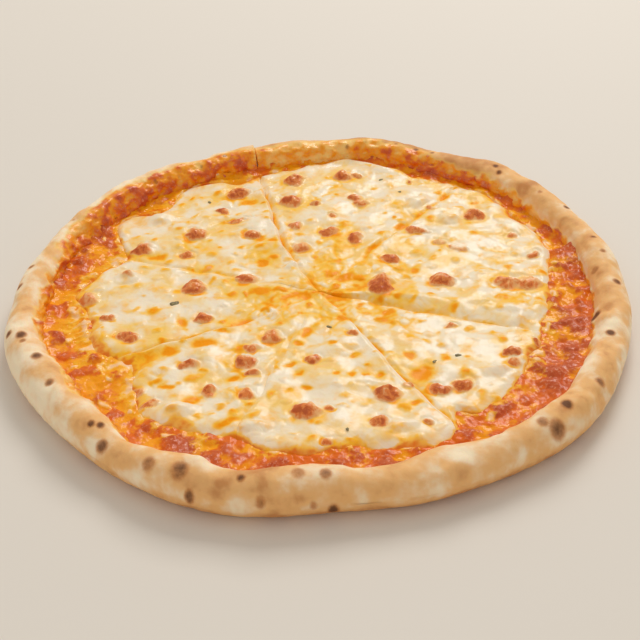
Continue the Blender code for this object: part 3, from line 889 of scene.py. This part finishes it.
# Painted light: how much paler the rim's crest is kept where the light falls on it
PAINTED_CREST_LIGHT = ((288, 26, 0.35), (205, 14, 0.15))
# Painted shade: how much browner the rim is kept low on its outer side at the front, where it lies in shade
PAINTED_FOOT_SHADE = ((275, 60, 0.75),)
INSIDE_PALES = ((115, 60, 1.2),)


def dough_profile(lay):
    """From the middle of the base outwards, over the rim and back below."""
    crest, wall = lay.radius - lay.rim_crest_in, lay.radius - lay.rim_width
    rise = lay.rim_height - lay.rim_waist
    inner_points, outer_points, under_points = RIM_POINTS
    inner = arc((crest, lay.rim_waist), (crest - wall, rise), 180, 90, inner_points)
    outer = arc((crest, lay.rim_waist), (lay.rim_crest_in, rise), 90, 0, outer_points)
    contact = lay.radius - lay.rim_contact_in
    under = arc((contact, lay.rim_waist), (lay.rim_contact_in, lay.rim_waist), 0, -90, under_points)
    steps = range(FOOT_STEPS + 1)
    foot = [(wall, lay.base + (lay.rim_waist - lay.base) * step / FOOT_STEPS) for step in steps]
    below = [(contact * (1 - ring / UNDER_RINGS), 0) for ring in range(1, UNDER_RINGS)]
    return [(0, lay.base), (wall / 2, lay.base), *foot, *inner, *outer, *under, *below, (0, 0)]


def uneven_rim(lay, even):
    """Takes the points of the turned, even rim to the uneven one, puffed and blistered."""
    radius, angle = polar_of(even)
    inwards = (lay.radius - radius) * (1 + swell(angle, WALL_SWELLS) / lay.rim_width)
    share = np.clip((even[:, 2] - lay.rim_waist) / (lay.rim_height - lay.rim_waist), 0, 1)
    height = even[:, 2] * np.where(share > 0, 1 + swell(angle, HEIGHT_SWELLS) / lay.rim_height, 1)
    places = polar(lay.outline_radius(angle) - inwards, angle, height)
    puff = rim_puff(lay, even, share, height)
    side = np.where(radius > lay.radius - lay.rim_crest_in, 1, -1)
    outwards = side * np.sqrt(1 - share**2)
    lift = np.where(share > 0, share, 0) * puff
    places += polar(outwards * np.where(side > 0, np.minimum(puff, MOST_PUFF), puff), angle, lift)
    over = places[:, 2] - MOST_HEIGHT + 1
    places[:, 2] = np.where(over > 0, MOST_HEIGHT - 1 + np.tanh(over), places[:, 2])
    still = radius < lay.radius - lay.rim_width - 0.5
    places[still] = even[still]
    return places


def rim_puff(lay, even, share, height):
    """How far the skin stands out: in broad waves and small bubbles, and in lumps where it is stained."""
    radius, angle = polar_of(even)
    waves = PUFF_DEPTH * np.minimum(1, 2 * share) * wave(even, PUFF_LENGTH, even[:, 2] / 30)
    bubbles = np.clip(GRAIN(even, 11), 0.1, None) ** 2 * 2.2 + 0.3 * GRAIN(even, 4.5, 3) - 0.3
    rim = smooth(0, 0.35, share) + smooth(lay.radius - 7, lay.radius - 1, radius) * (share == 0)
    stained = smooth(1.5, -2.5, height - stain_height(lay, angle)) * smooth(0, 3, height - lay.rim_waist + 2)
    stained = stained * smooth(0, 3.5, lay.radius - lay.rim_crest_in - radius)
    return waves + bubbles * np.clip(rim, 0, 1) + stained * (0.5 + 1.9 * wall_lumps(lay, angle, height))


def rim_step(lay, places):
    """At the cut that parts the rim, what lies beyond it has risen and what lies before it has sunk."""
    radius, angle = polar_of(places)
    beside = radius * np.radians(angle % 360 - lay.cut_angle(CUTS[THROUGH_CUT], radius) % 360)
    step = np.where(beside > 0, STEP_UP * bell(beside, 16), -STEP_DOWN * bell(beside, 12))
    return step * smooth(lay.rim_waist, lay.rim_height - 3, places[:, 2]) * (radius > 120)


def wall_lumps(lay, angle, height):
    """Unevenness of what has baked onto the rim's inner wall."""
    return GRAIN.layers(polar(lay.radius - lay.rim_width, angle, 1.3 * height), 6.5, 3, 8.0)


def stain_height(lay, angle):
    """How high sauce and cheese have baked onto the rim's inner wall."""
    return lay.base + STAIN_HEIGHT + swell(angle, STAIN_CLIMBS)


def brownness(places, angle, from_crest):
    """How brown the crust has baked, on its sides and top, in patches and below, with painted shade low on
    its outer side and painted light on its crest at the front and left.
    """
    height = places[:, 2]
    bake = 0.1 + swell(angle, RIM_BROWNS) * smooth(7, 14, height)
    # browner on top, except where painted light keeps the crest paler
    bake += (0.2 - swell(angle, PAINTED_CREST_LIGHT)) * smooth(13, 19, height)
    # painted shade: browner low on the rim's outer side, most at the front
    low = smooth(13, 3, height) * smooth(0, 4, from_crest)
    bake += 0.45 * GRAIN.layers(places, 13, 3, 2.0) + (0.3 + swell(angle, PAINTED_FOOT_SHADE)) * low
    bake += 0.1 * smooth(-2, -7, from_crest) * (1 - swell(angle, INSIDE_PALES))
    for *middle, size, strength in TOASTED:
        bake += 0.6 * strength * bell(np.linalg.norm(places - polar(*middle), axis=1), size / 2)
    under = smooth(1.5, 0.2, height)
    return bake + under * (0.6 + 0.7 * GRAIN.layers(places, 22, 2, 6.0) - bake)


def charring(places):
    """How charred the crust is; each mark has a firm middle and a soft edge, and is taller than wide."""
    char = np.zeros(len(places))
    for *middle, size, strength in CHAR_MARKS:
        away = np.linalg.norm((places - polar(*middle)) * (1, 1, 0.6), axis=1) / (size / 2)
        mark = 0.75 * np.exp(-((away / 0.85) ** 4)) + 0.33 * bell(away, 1.5)
        char = np.maximum(char, strength * mark)
    return char


def dough_fields(lay, places):
    """How far the dough is baked, charred and stained at its places, and how red the stain is."""
    radius, angle = polar_of(places)
    angle, height = angle % 360, places[:, 2]
    from_crest = radius - (lay.outline_radius(angle) - lay.rim_crest_in)
    ragged = 2.2 * GRAIN.layers(places, 7, 2, 4.0)
    stain = 1.2 * smooth(3, -3, from_crest) * smooth(2.5, -2.5, height - stain_height(lay, angle) + ragged)
    stain *= smooth(-1.6, -0.3, GRAIN(places, 10, 16.0)) * smooth(2.0, 4.2, height)
    red = 0.35 + swell(angle, STAIN_REDS) + 0.8 * wall_lumps(lay, angle, height)
    red += 0.4 * GRAIN(places, 14, 6.0)
    red += 0.5 * GRAIN(places, 4.5, 9.0) - 0.3 * smooth(14, 19, height)
    bake = brownness(places, angle, from_crest)
    return {"bake": bake, "char": charring(places), "stain": stain, "red": red}


def make_dough(lay, colours):
    dough = turn_profile("dough", dough_profile(lay), DOUGH_STEPS)
    set_places(dough.data, uneven_rim(lay, vertex_places(dough.data)))
    cut_with(dough, [make_blade(lay, index, DOUGH_SLIT) for index in range(len(CUTS))])
    places = vertex_places(dough.data)
    places[:, 2] += rim_step(lay, places)
    set_places(dough.data, places)
    set_attributes(dough.data, dough_fields(lay, places))
    finish_piece(dough, crust_finish(colours), "crust", "crust")


# ---------------------------------------------------------------- sauce


SAUCE_COLUMNS = 1500
SAUCE_ROWS = 54
SAUCE_UNDER = 8.0  # how far the fine part of the sauce runs in below the cheese
SAUCE_TUCK = 1.0  # how far it runs into the foot of the rim
SAUCE_FOOT = 0.1  # how far above the base its outer edge ends
SAUCE_CLIMB = 2.4  # how far it is drawn up the rim
LUMP_RISE = 1.3
# Where something is stronger than elsewhere: (angle, half width in degrees, how much)
SAUCE_CHUNKS = ((350, 50, 0.5),)
SAUCE_STRINGS = ((200, 32, 0.6),)
SAUCE_HEIGHTS = ((105, 32, 1.3),)
# Painted light: the entries at 100 and 105 degrees in this and the next two tables make the sauce oilier,
# less dark and paler in the shade of the back rim
SAUCE_OILS = ((200, 32, 0.4), (105, 32, 0.6), (280, 45, -0.35), (25, 25, 0.2))
SAUCE_DARKS = ((195, 36, -0.55), (345, 30, 0.1), (25, 25, -0.3), (100, 30, -0.9))
MELT_REACHES = ((195, 32, 0.65), (105, 34, 0.8), (25, 20, 0.3))
MELT_EDGES = ((280, 45, -0.4),)


class SaucePoints:
    """Points of the ring of sauce, and what lies there; share is 0 at the cheese and 1 at the rim."""

    def __init__(self, lay, radius, angle):
        edge = lay.cheese_radius(angle)
        self.angle, self.share = angle, (radius - edge) / (lay.foot_radius(angle) + SAUCE_TUCK - edge)
        self.flat = flat = polar(radius, angle, 0)
        uneven = flat + 1.6 * shift(flat, 5, 2.0)
        self.tomato = Spots(uneven, [(x, y, size, size, 0) for x, y, size in TOMATO_LUMPS])
        self.pools, self.stray = Spots(uneven, OIL_POOLS), Spots(uneven, STRAY_CHEESE)
        self.chunks = np.clip(GRAIN(uneven, 8.0, 3.7) + 0.1, 0, None) * (1 + swell(angle, SAUCE_CHUNKS))
        self.pulp, self.broad = GRAIN.layers(flat, 4.5, 3, 1.0), GRAIN(flat, 22, 15.0)
        self.drawn = polar(110 + 0.4 * (radius - 110), angle, 0)
        threads = np.minimum(abs(GRAIN(uneven, 9, 12.0)), abs(GRAIN(self.drawn, 4.5, 17.0)))
        self.strings = smooth(0.35, 0.0, threads) * smooth(0.9, 0.1, self.share)
        self.strings = self.strings * np.clip(0.2 + self.broad + swell(angle, SAUCE_STRINGS), 0, 1)
        self.beside = bell(radius - lay.melted_edge(angle), 3.5)

    def height(self, lay):
        """Lumpy where it shows, and drawn up where it meets the rim."""
        height = lay.sauce_ring_top - 0.3 + 1.9 * self.chunks + 0.5 * self.pulp + 0.4 * self.strings
        height += 0.14 * self.tomato.size * self.tomato.dome()
        height += 0.7 * self.stray.dome(2.0, 1.0) - 0.5 * self.pools.fill(0.8, 0.4)
        for lump_radius, lump_angle, width in SAUCE_LUMPS:
            aside = self.flat - polar(lump_radius, lump_angle, 0)
            height += LUMP_RISE * bell(np.hypot(aside[:, 0], aside[:, 1]), width / 2)
        height += self.beside * (0.7 - 1.1 * self.chunks) + swell(self.angle, SAUCE_HEIGHTS)
        shown = smooth(-0.35, 0.12, self.share)
        top = lay.sauce_top + (np.maximum(height, lay.sauce_top) - lay.sauce_top) * shown
        return top + SAUCE_CLIMB * np.clip(self.share, 0, 1) ** 4

    def fields(self):
        """How oily the sauce is, how dark its tomato, and how much cheese has melted into it; at the back it
        is painted lighter against the shade of the rim.
        """
        angle, flat, tomato, pools = self.angle, self.flat, self.tomato, self.pools
        oil = 0.45 + 0.8 * GRAIN.layers(flat, 12, 2, 9.0) - 0.8 * self.chunks + 0.8 * pools.glow(1.1)
        oil += swell(angle, SAUCE_OILS) - 0.5 * tomato.fill(0.9, 0.5)
        dark = 0.2 + 1.0 * self.chunks + 0.3 * self.pulp + 0.5 * self.broad + 0.7 * tomato.glow(1.1)
        dark += swell(angle, SAUCE_DARKS) - 0.7 * pools.glow(1.0) - 0.6 * self.beside
        edge = 0.55 + swell(angle, MELT_EDGES) + 0.9 * GRAIN(self.drawn, 6, 5.0) + 0.3 * GRAIN(flat, 3, 5.0)
        edge = edge * smooth(0.38 + swell(angle, MELT_REACHES), 0.0, self.share)
        melt = np.maximum.reduce([edge, 1.1 * self.stray.glow(0.9), 0.8 * self.strings])
        return {"oil": oil, "dark": dark, "melt": melt - 0.3 * tomato.fill(0.9, 0.35)}


def make_sauce(lay, colours):
    """The ring that shows is fine; below the cheese the sauce is a plain flat disc."""
    sauce, around, out = new_grid("tomato_sauce", SAUCE_COLUMNS, SAUCE_ROWS)
    angle = 360 * around
    inner, outer = lay.cheese_radius(angle) - SAUCE_UNDER, lay.foot_radius(angle) + SAUCE_TUCK
    radius = inner + (outer - inner) * out
    set_places(sauce.data, polar(radius, angle, SaucePoints(lay, radius, angle).height(lay)))
    bpy.ops.object.mode_set(mode="EDIT")
    bpy.ops.mesh.select_all(action="SELECT")
    bpy.ops.mesh.remove_doubles(threshold=MERGED)
    bpy.ops.object.mode_set(mode="OBJECT")
    close_sauce(lay, sauce)
    radius, angle = polar_of(vertex_places(sauce.data))
    set_attributes(sauce.data, SaucePoints(lay, radius, angle % 360).fields())
    finish_piece(sauce, sauce_finish(colours), "sauce", "sauce")


def close_sauce(lay, sauce):
    """Fills the disc inside the ring, and draws the outer edge down to the dough and fills it too."""
    shape = bmesh.new()
    shape.from_mesh(sauce.data)
    border = [edge for edge in shape.edges if edge.is_boundary]
    inner = [edge for edge in border if runs_inside(lay, edge)]
    outer = [edge for edge in border if edge not in set(inner)]
    bmesh.ops.contextual_create(shape, geom=inner)
    made = bmesh.ops.extrude_edge_only(shape, edges=outer)["geom"]
    for vertex in (item for item in made if isinstance(item, bmesh.types.BMVert)):
        vertex.co.z = lay.base + SAUCE_FOOT
    bmesh.ops.contextual_create(shape, geom=[item for item in made if isinstance(item, bmesh.types.BMEdge)])
    bmesh.ops.recalc_face_normals(shape, faces=shape.faces)
    shape.to_mesh(sauce.data)
    shape.free()


def runs_inside(lay, edge):
    """Tells the inner border of the ring, which lies below the cheese, from the outer one."""
    place = edge.verts[0].co
    angle = float(np.degrees(np.arctan2(place.y, place.x)))
    return place.xy.length < lay.cheese_radius(angle) - SAUCE_UNDER / 2


# ---------------------------------------------------------------- cheese


CHEESE_ROWS = 230
COLUMNS_PER_DEGREE = 3.5
SLICE_TIP = 0.6  # radius at which a slice begins
SLIT = 0.025  # half the width of a cut between two slices
LIFT_REACH = 17.0
CHEESE_CREEP = 4.0
BLISTER_RISE = 0.32  # of their width, as is the next
SPOT_RISE = 0.1
BLISTER_SCALE = 0.95
WIDE_SHOULDER = 6  # one that rounds over more widely is a slope towards its cut
# Where something is stronger than elsewhere: (angle, half width in degrees, how much)
MELT_WIDTHS = ((209, 9, 9.0),)
CRISP_LOSSES = ((204, 28, 0.9),)
WARM_LOSSES = ((320, 24, 0.2), (228, 22, 0.12))
THIN_REACHES = ((200, 36, 0.35), (209, 7, 0.5), (100, 25, 0.15))


class SlicePoints:
    """Points of one slice, given by radius and angle, and what lies there."""

    def __init__(self, lay, index, radius, angle, small_spots):
        first, last = slice_cuts(index)
        turned = (angle - lay.cut_angle(first, radius), lay.cut_angle(last, radius) - angle)
        self.from_cuts = [radius * np.sin(np.radians(np.clip(away, -90, 90))) for away in turned]
        self.index, self.radius, self.angle, self.edge = index, radius, angle, lay.melted_edge(angle)
        self.from_edge = np.maximum(0, self.edge - radius)
        self.flat = flat = polar(radius, angle, 0)
        uneven = flat + 1.7 * shift(flat, 7, 2.0)
        uneven += 0.5 * shift(flat, 3, 2.5)
        crinkled = uneven + 0.9 * shift(flat, 4, 3.5)
        self.blisters, self.small = Spots(crinkled, BLISTERS, BLISTER_SCALE), Spots(uneven, small_spots)
        self.pools, self.mounds = Spots(uneven, OIL_SPOTS), Spots(uneven, PALE_MOUNDS)
        self.centre, self.right = bell(radius, 42), smooth(-20, 110, 0.7 * flat[:, 0] + 0.7 * flat[:, 1])
        self.wildness = smooth(0.1, 1.1, GRAIN(flat, 26, 12.0) + 0.9 * self.centre + 0.4 * self.right)
        drift = polar(GRAIN(flat, 13, 3.0), 60, 0) + polar(GRAIN(flat, 13, 8.0), 150, 0)
        self.curds = np.sqrt(GRAIN(flat + 4 * drift, 11, 5.0) ** 2 + 0.01)
        self.strings = np.sqrt(GRAIN(flat + 3 * drift, 5, 8.0) ** 2 + 0.02)
        self.drops = self.cut_drops()

    def cut_drops(self):
        """How much of its height the slice has lost near its first and its last cut."""
        ragged = 1 + 0.4 * GRAIN(self.flat, 9, 21.0)
        drops = []
        sides = zip(self.from_cuts, SLICE_SHOULDERS[self.index], SLICE_CREASES[self.index])
        for away, shoulder, crease in sides:
            wide = shoulder > WIDE_SHOULDER
            width = 2.0 + (shoulder - 2.0) * smooth(6, 30, self.radius) * ragged
            width = width * (1 + 0.6 * (self.radius / 60 - 1) * wide)
            crease = crease * (1 - 0.85 * smooth(50, 14, self.radius) * (not wide))
            drops.append(crease * (1 - smooth(-0.3 * width, width, away)))
        return drops

    def along_cuts(self, strengths, width):
        """A strength for each of the two cuts, fading away from it."""
        return sum(strength * bell(away, width) for strength, away in zip(strengths, self.from_cuts))

    def climb(self):
        """How far the edge of the cheese has crept up the rim."""
        return swell(self.angle, CHEESE_CLIMBS) * bell(self.from_edge, CHEESE_CREEP)

    def top(self, lay):
        """Height of the cheese away from its cuts and its edge."""
        flat, wildness, blisters, mounds = self.flat, self.wildness, self.blisters, self.mounds
        lifts = SLICE_LIFTS[self.index]
        lift = 0.7 * self.along_cuts(lifts, LIFT_REACH) + 0.5 * self.along_cuts(lifts, 4)
        lift = lift * np.minimum(1, self.radius / 45) * np.clip(self.from_edge / 20, 0, 1)
        relief = 0.9 * GRAIN(flat, 15, 1.0) + (0.45 + 0.4 * wildness) * 0.95 * (self.curds - 0.3)
        relief += (0.06 + 0.8 * wildness) * 0.7 * (self.strings - 0.3)
        top = lay.cheese_top + lift + 0.5 * wave(flat, 15.0, 0.5) + relief * (1 - 0.8 * blisters.halo(0.25))
        top += 0.2 * mounds.strength * mounds.size * mounds.dome(2, 1.8) - 0.35 * self.pools.glow()
        top += BLISTER_RISE * blisters.size * blisters.dome(2.0, 1.15) * (0.55 + 0.45 * blisters.strength)
        top += blisters.fill() * 0.8 * (abs(GRAIN(flat, 3.4, 14.0)) - 0.3) - 0.35 * blisters.halo(0.4)
        return top + SPOT_RISE * self.small.size * self.small.dome(2, 1)

    def height(self, lay):
        """The top, run down to the sauce at the edge and lowered along the cuts."""
        lip, edge_place = lay.sauce_top + lay.cheese_lip, polar(self.edge, self.angle, 0)
        melt = self.from_edge / (6.5 + 3.5 * GRAIN(edge_place, 12, 2.0) + swell(self.angle, MELT_WIDTHS))
        crisp = smooth(-0.1, 0.7, GRAIN(edge_place, 17, 25.0)) * (1 - swell(self.angle, CRISP_LOSSES))
        melt = crisp * rounded(melt) + (1 - crisp) * np.sin(np.pi / 2 * np.minimum(1, melt))
        whole = 1 - np.maximum(*self.drops) * (1 - 0.7 * self.blisters.fill(1.1, 0.3))
        return lip + (self.top(lay) - lip) * np.minimum(whole, melt) + self.climb() * whole

    def fields(self):
        """How browned, oily, warm in colour and thin the cheese is, with painted light and shade on the
        blisters, the raised cut edges and the wide slope.
        """
        oils, blisters, small, flat = SLICE_OILS[self.index], self.blisters, self.small, self.flat
        outer, thick = smooth(12, 48, self.radius), self.mounds.glow(0.9)
        slope = self.drops[0] * (SLICE_SHOULDERS[self.index][0] > WIDE_SHOULDER)
        # painted highlight: a pale edge along a cut where the slice is raised
        pale = self.along_cuts([oil == 0 for oil in oils], 3) * outer
        pale *= np.clip(0.75 + 0.7 * GRAIN(flat, 9, 23.0), 0, 1)
        calm = (1 - 0.5 * pale) * (1 - 0.55 * thick) * (1 - 0.5 * slope)
        valley = smooth(0.35, 0.1, self.curds) * (0.25 + 0.75 * self.wildness)
        valley += 0.7 * smooth(0.4, 0.14, self.strings) * self.wildness
        patchy = np.clip(0.65 + 0.9 * GRAIN(flat, 11, 19.0), 0, 1.2)
        seam = self.along_cuts(oils, 2.2) * (0.3 + 0.7 * outer)
        # partly oil round a blister and partly painted shade: orange on the blister's shaded near left side
        oil_and_shade_crescent = blisters.halo(0.45) * np.clip(0.55 - 0.65 * blisters.lean_to_light, 0, 1) * (1 - 0.6 * self.right)
        oil_and_shade_crescent *= np.clip(0.5 + 1.2 * GRAIN(flat, 7, 29.0), 0, 1.2)
        spots = small.strength * small.glow(0.9)
        oil = np.maximum.reduce([1.2 * self.pools.glow(0.95), spots, oil_and_shade_crescent, seam * patchy])
        oil = calm * (oil + 0.3 * valley + 0.25 * self.centre * patchy)
        # warmer and yellower on the wide slope towards a cut, partly painted shade of a slope that faces away
        # from the light
        warm = 0.42 + 0.6 * slope + 0.4 * GRAIN(flat, 24, 11.0) + 0.4 * GRAIN(flat, 10, 13.0)
        warm += 0.4 * small.glow(1.7) * small.strength + 0.4 * self.pools.glow(1.7) + 0.3 * blisters.halo(0.6)
        warm += 0.3 * valley + 0.2 * self.centre - swell(self.angle, WARM_LOSSES)
        # painted highlight: paler cream round a blister on its far right side, where the light falls
        warm = calm * warm + 0.03 * thick - 0.4 * blisters.halo(0.5) * np.clip(blisters.lean_to_light, 0, 1)
        return {"brown": self.browned(), "oil": oil, "warm": warm, "thin": self.thinned()}

    def browned(self):
        """Painted light and shade: firm and darker on a blister's shaded near left side, and soft and paler,
        a painted highlight, on its sunny far right side.
        """
        blisters, small = self.blisters, self.small
        sunny = smooth(-0.6, 0.9, blisters.lean_to_light)
        firm, soft = blisters.fill(0.92, 0.26), blisters.fill(0.74, 0.5)
        brown = blisters.strength * (firm + (soft - firm) * sunny) * (1.1 - 0.6 * sunny)
        return np.maximum(brown, 0.75 * smooth(0.9, 1.1, small.strength) * small.glow(0.6))

    def thinned(self):
        """How much of the sauce shows through near the edge, except where the cheese climbs the rim."""
        reach = 0.1 + GRAIN(self.flat, 14, 17.0) + swell(self.angle, THIN_REACHES)
        reach = 2.8 + 9.0 * np.clip(reach, 0, None)
        return smooth(1.1, 0, self.from_edge / reach) * smooth(3.0, 0.5, self.climb())


def make_slice(lay, index, material, small_spots):
    """A grid laid between two cuts, raised to its relief and closed below."""
    first, last = slice_cuts(index)
    columns = round((last[0] - first[0]) * COLUMNS_PER_DEGREE)
    piece, across, out = new_grid(f"melted_cheese_{index + 1}", columns, CHEESE_ROWS)
    across = across - 0.09 * np.sin(2 * np.pi * across)  # closer near the cuts
    out = 1 - (1 - out) ** 1.25  # and near the edge
    middle = lay.melted_edge(first[0] + (last[0] - first[0]) * across)
    radius = SLICE_TIP + (middle - SLICE_TIP) * out
    clear = np.degrees(np.arcsin(np.minimum(SLIT / radius, 0.5)))
    low, high = lay.cut_angle(first, radius) + clear, lay.cut_angle(last, radius) - clear
    angle = low + (high - low) * across
    points = SlicePoints(lay, index, radius, angle, small_spots)
    set_places(piece.data, polar(radius, angle, points.height(lay)))
    set_attributes(piece.data, points.fields())
    close_below(lay.sauce_top)
    finish_piece(piece, material, "cheese", f"cheese_slice_{index + 1}")


def cheese_height_at(lay, x, y, small_spots):
    """Height of the cheese at a point."""
    radius = np.array([hypot(x, y)])
    for index in range(len(CUTS)):
        first, last = slice_cuts(index)
        low, high = lay.cut_angle(first, radius), lay.cut_angle(last, radius)
        angle = low + (np.degrees(np.arctan2(y, x)) - low) % 360
        if angle < high:
            return float(SlicePoints(lay, index, radius, angle, small_spots).height(lay)[0])
    raise ValueError("no slice holds this point")


# ---------------------------------------------------------------- herbs


FLECK_SHAPE = (0.5, 0.28, 0.1)  # half the length, width and thickness, as shares of the length
FLECK_TILT = (0.1, 0.12)
FLECK_LIFT = 0.05  # height of a fleck's middle above the cheese


def make_fleck(lay, x, y, size, turn, small_spots):
    """A flat, crumpled fleck that lies on the cheese."""
    place = (x, y, cheese_height_at(lay, x, y, small_spots) + FLECK_LIFT)
    add = bpy.ops.mesh.primitive_ico_sphere_add
    fleck = added("fleck", add, subdivisions=3, radius=1, location=place)
    fleck.scale = [size * share for share in FLECK_SHAPE]
    fleck.rotation_euler = (*FLECK_TILT, radians(turn))
    bpy.ops.object.transform_apply()
    places = vertex_places(fleck.data)
    crumple = np.stack([GRAIN(places, 1.6, offset) for offset in (0.0, 5.0, 9.0)], axis=1)
    set_places(fleck.data, places + 0.5 * crumple * (1.0, 1.0, 0.3))
    return fleck


def make_herbs(lay, colours):
    small_spots = draw_small_spots()
    flecks = [make_fleck(lay, *row, small_spots) for row in HERBS]
    for fleck in flecks:
        fleck.select_set(True)
    bpy.ops.object.join()
    herbs = bpy.context.object
    herbs.name = herbs.data.name = "herb_flecks"
    finish_piece(herbs, herb_finish(colours), "herb")


# ---------------------------------------------------------------- operators


FLOOR_SIZE = 6.0
FLOOR_DROP = 0.0002  # keeps the floor just below the dough
LIGHTS = (("window", (0.6, 1.9, 1.8), 1.1), ("fill", (-0.5, -0.9, 0.8), 1.0))  # name, place, size in metres
SKY_COLOUR = (1.0, 0.985, 0.96, 1)
SENSOR_WIDTH = 36
NEAREST = 0.01


class PizzaPiece:
    """What the operators share: the layout and the colours of the scene."""

    bl_options = {"REGISTER", "UNDO"}

    def settings(self, context):
        return Layout(context.scene.pizza_sizes), context.scene.pizza_colours


class PIZZA_OT_dough(PizzaPiece, bpy.types.Operator):
    """Model the dough with its puffed rim"""

    bl_idname = "pizza.dough"
    bl_label = "Dough"

    def execute(self, context):
        make_dough(*self.settings(context))
        return {"FINISHED"}


class PIZZA_OT_sauce(PizzaPiece, bpy.types.Operator):
    """Model the tomato sauce that shows between the cheese and the rim"""

    bl_idname = "pizza.sauce"
    bl_label = "Tomato Sauce"

    def execute(self, context):
        make_sauce(*self.settings(context))
        return {"FINISHED"}


class PIZZA_OT_cheese(PizzaPiece, bpy.types.Operator):
    """Model the seven slices of melted cheese"""

    bl_idname = "pizza.cheese"
    bl_label = "Melted Cheese"

    def execute(self, context):
        lay, colours = self.settings(context)
        material = cheese_finish(colours)
        small_spots = draw_small_spots()
        for index in range(len(CUTS)):
            make_slice(lay, index, material, small_spots)
        return {"FINISHED"}


class PIZZA_OT_herbs(PizzaPiece, bpy.types.Operator):
    """Model the flecks of dried herb"""

    bl_idname = "pizza.herbs"
    bl_label = "Herb Flecks"

    def execute(self, context):
        make_herbs(*self.settings(context))
        return {"FINISHED"}


class PIZZA_OT_stage(bpy.types.Operator):
    """Set up the floor, the soft light and the camera"""

    bl_idname = "pizza.stage"
    bl_label = "Stage"
    bl_options = {"REGISTER", "UNDO"}

    def execute(self, context):
        stage = context.scene.pizza_stage
        context.scene.view_settings.view_transform = "Standard"
        self.add_floor(stage)
        for name, place, size in LIGHTS:
            self.add_light(name, place, size, getattr(stage, name))
        self.add_sky(context.scene, stage)
        self.add_camera(context.scene, stage)
        return {"FINISHED"}

    def add_floor(self, stage):
        add = bpy.ops.mesh.primitive_plane_add
        floor = added("floor", add, size=FLOOR_SIZE, location=(0, 0, -FLOOR_DROP))
        finish = Finish("plain_floor")
        floor.data.materials.append(finish.surface(Base_Color=linear(stage.floor), Roughness=0.7))

    def add_light(self, name, place, size, power):
        light = added(name, bpy.ops.object.light_add, type="AREA", location=place)
        light.data.energy = power
        light.data.size = size
        light.rotation_euler = Vector(place).to_track_quat("Z", "Y").to_euler()

    def add_sky(self, scene, stage):
        world = bpy.data.worlds.new("soft_light")
        world.use_nodes = True
        background = world.node_tree.nodes["Background"]
        background.inputs["Color"].default_value = SKY_COLOUR
        background.inputs["Strength"].default_value = stage.sky
        scene.world = world

    def add_camera(self, scene, stage):
        back = Vector((0, -np.cos(stage.camera_height), np.sin(stage.camera_height)))
        data = bpy.data.cameras.new("camera")
        camera = bpy.data.objects.new("camera", data)
        scene.collection.objects.link(camera)
        data.sensor_width = SENSOR_WIDTH
        data.lens = stage.camera_focal
        data.clip_start = NEAREST
        camera.location = Vector((0, stage.camera_aim, 0)) + back * stage.camera_distance
        level = (-back).to_track_quat("-Z", "Y")
        camera.rotation_euler = (level @ Quaternion((0, 0, 1), stage.camera_roll)).to_euler()
        scene.camera = camera


class PIZZA_PT_sidebar(bpy.types.Panel):
    """Sizes, colours and pieces of the pizza"""

    bl_label = "Pizza"
    bl_idname = "PIZZA_PT_sidebar"
    bl_space_type = "VIEW_3D"
    bl_region_type = "UI"
    bl_category = "Pizza"

    def draw(self, context):
        layout = self.layout
        for group in (context.scene.pizza_sizes, context.scene.pizza_colours, context.scene.pizza_stage):
            box = layout.box()
            for name in group.bl_rna.properties.keys():
                if name not in ("rna_type", "name"):
                    box.prop(group, name)
        for operator in OPERATORS:
            layout.operator(operator.bl_idname)


OPERATORS = (PIZZA_OT_stage, PIZZA_OT_dough, PIZZA_OT_sauce, PIZZA_OT_cheese, PIZZA_OT_herbs)
GROUPS = (PizzaSizes, PizzaColours, StageSettings)


def register():
    for kind in (*GROUPS, *OPERATORS, PIZZA_PT_sidebar):
        bpy.utils.register_class(kind)
    bpy.types.Scene.pizza_sizes = PointerProperty(type=PizzaSizes)
    bpy.types.Scene.pizza_colours = PointerProperty(type=PizzaColours)
    bpy.types.Scene.pizza_stage = PointerProperty(type=StageSettings)


def unregister():
    del bpy.types.Scene.pizza_stage
    del bpy.types.Scene.pizza_colours
    del bpy.types.Scene.pizza_sizes
    for kind in reversed((*GROUPS, *OPERATORS, PIZZA_PT_sidebar)):
        bpy.utils.unregister_class(kind)


def main():
    register()
    bpy.ops.pizza.stage()
    bpy.ops.pizza.dough()
    bpy.ops.pizza.sauce()
    bpy.ops.pizza.cheese()
    bpy.ops.pizza.herbs()


if __name__ == "__main__":
    main()
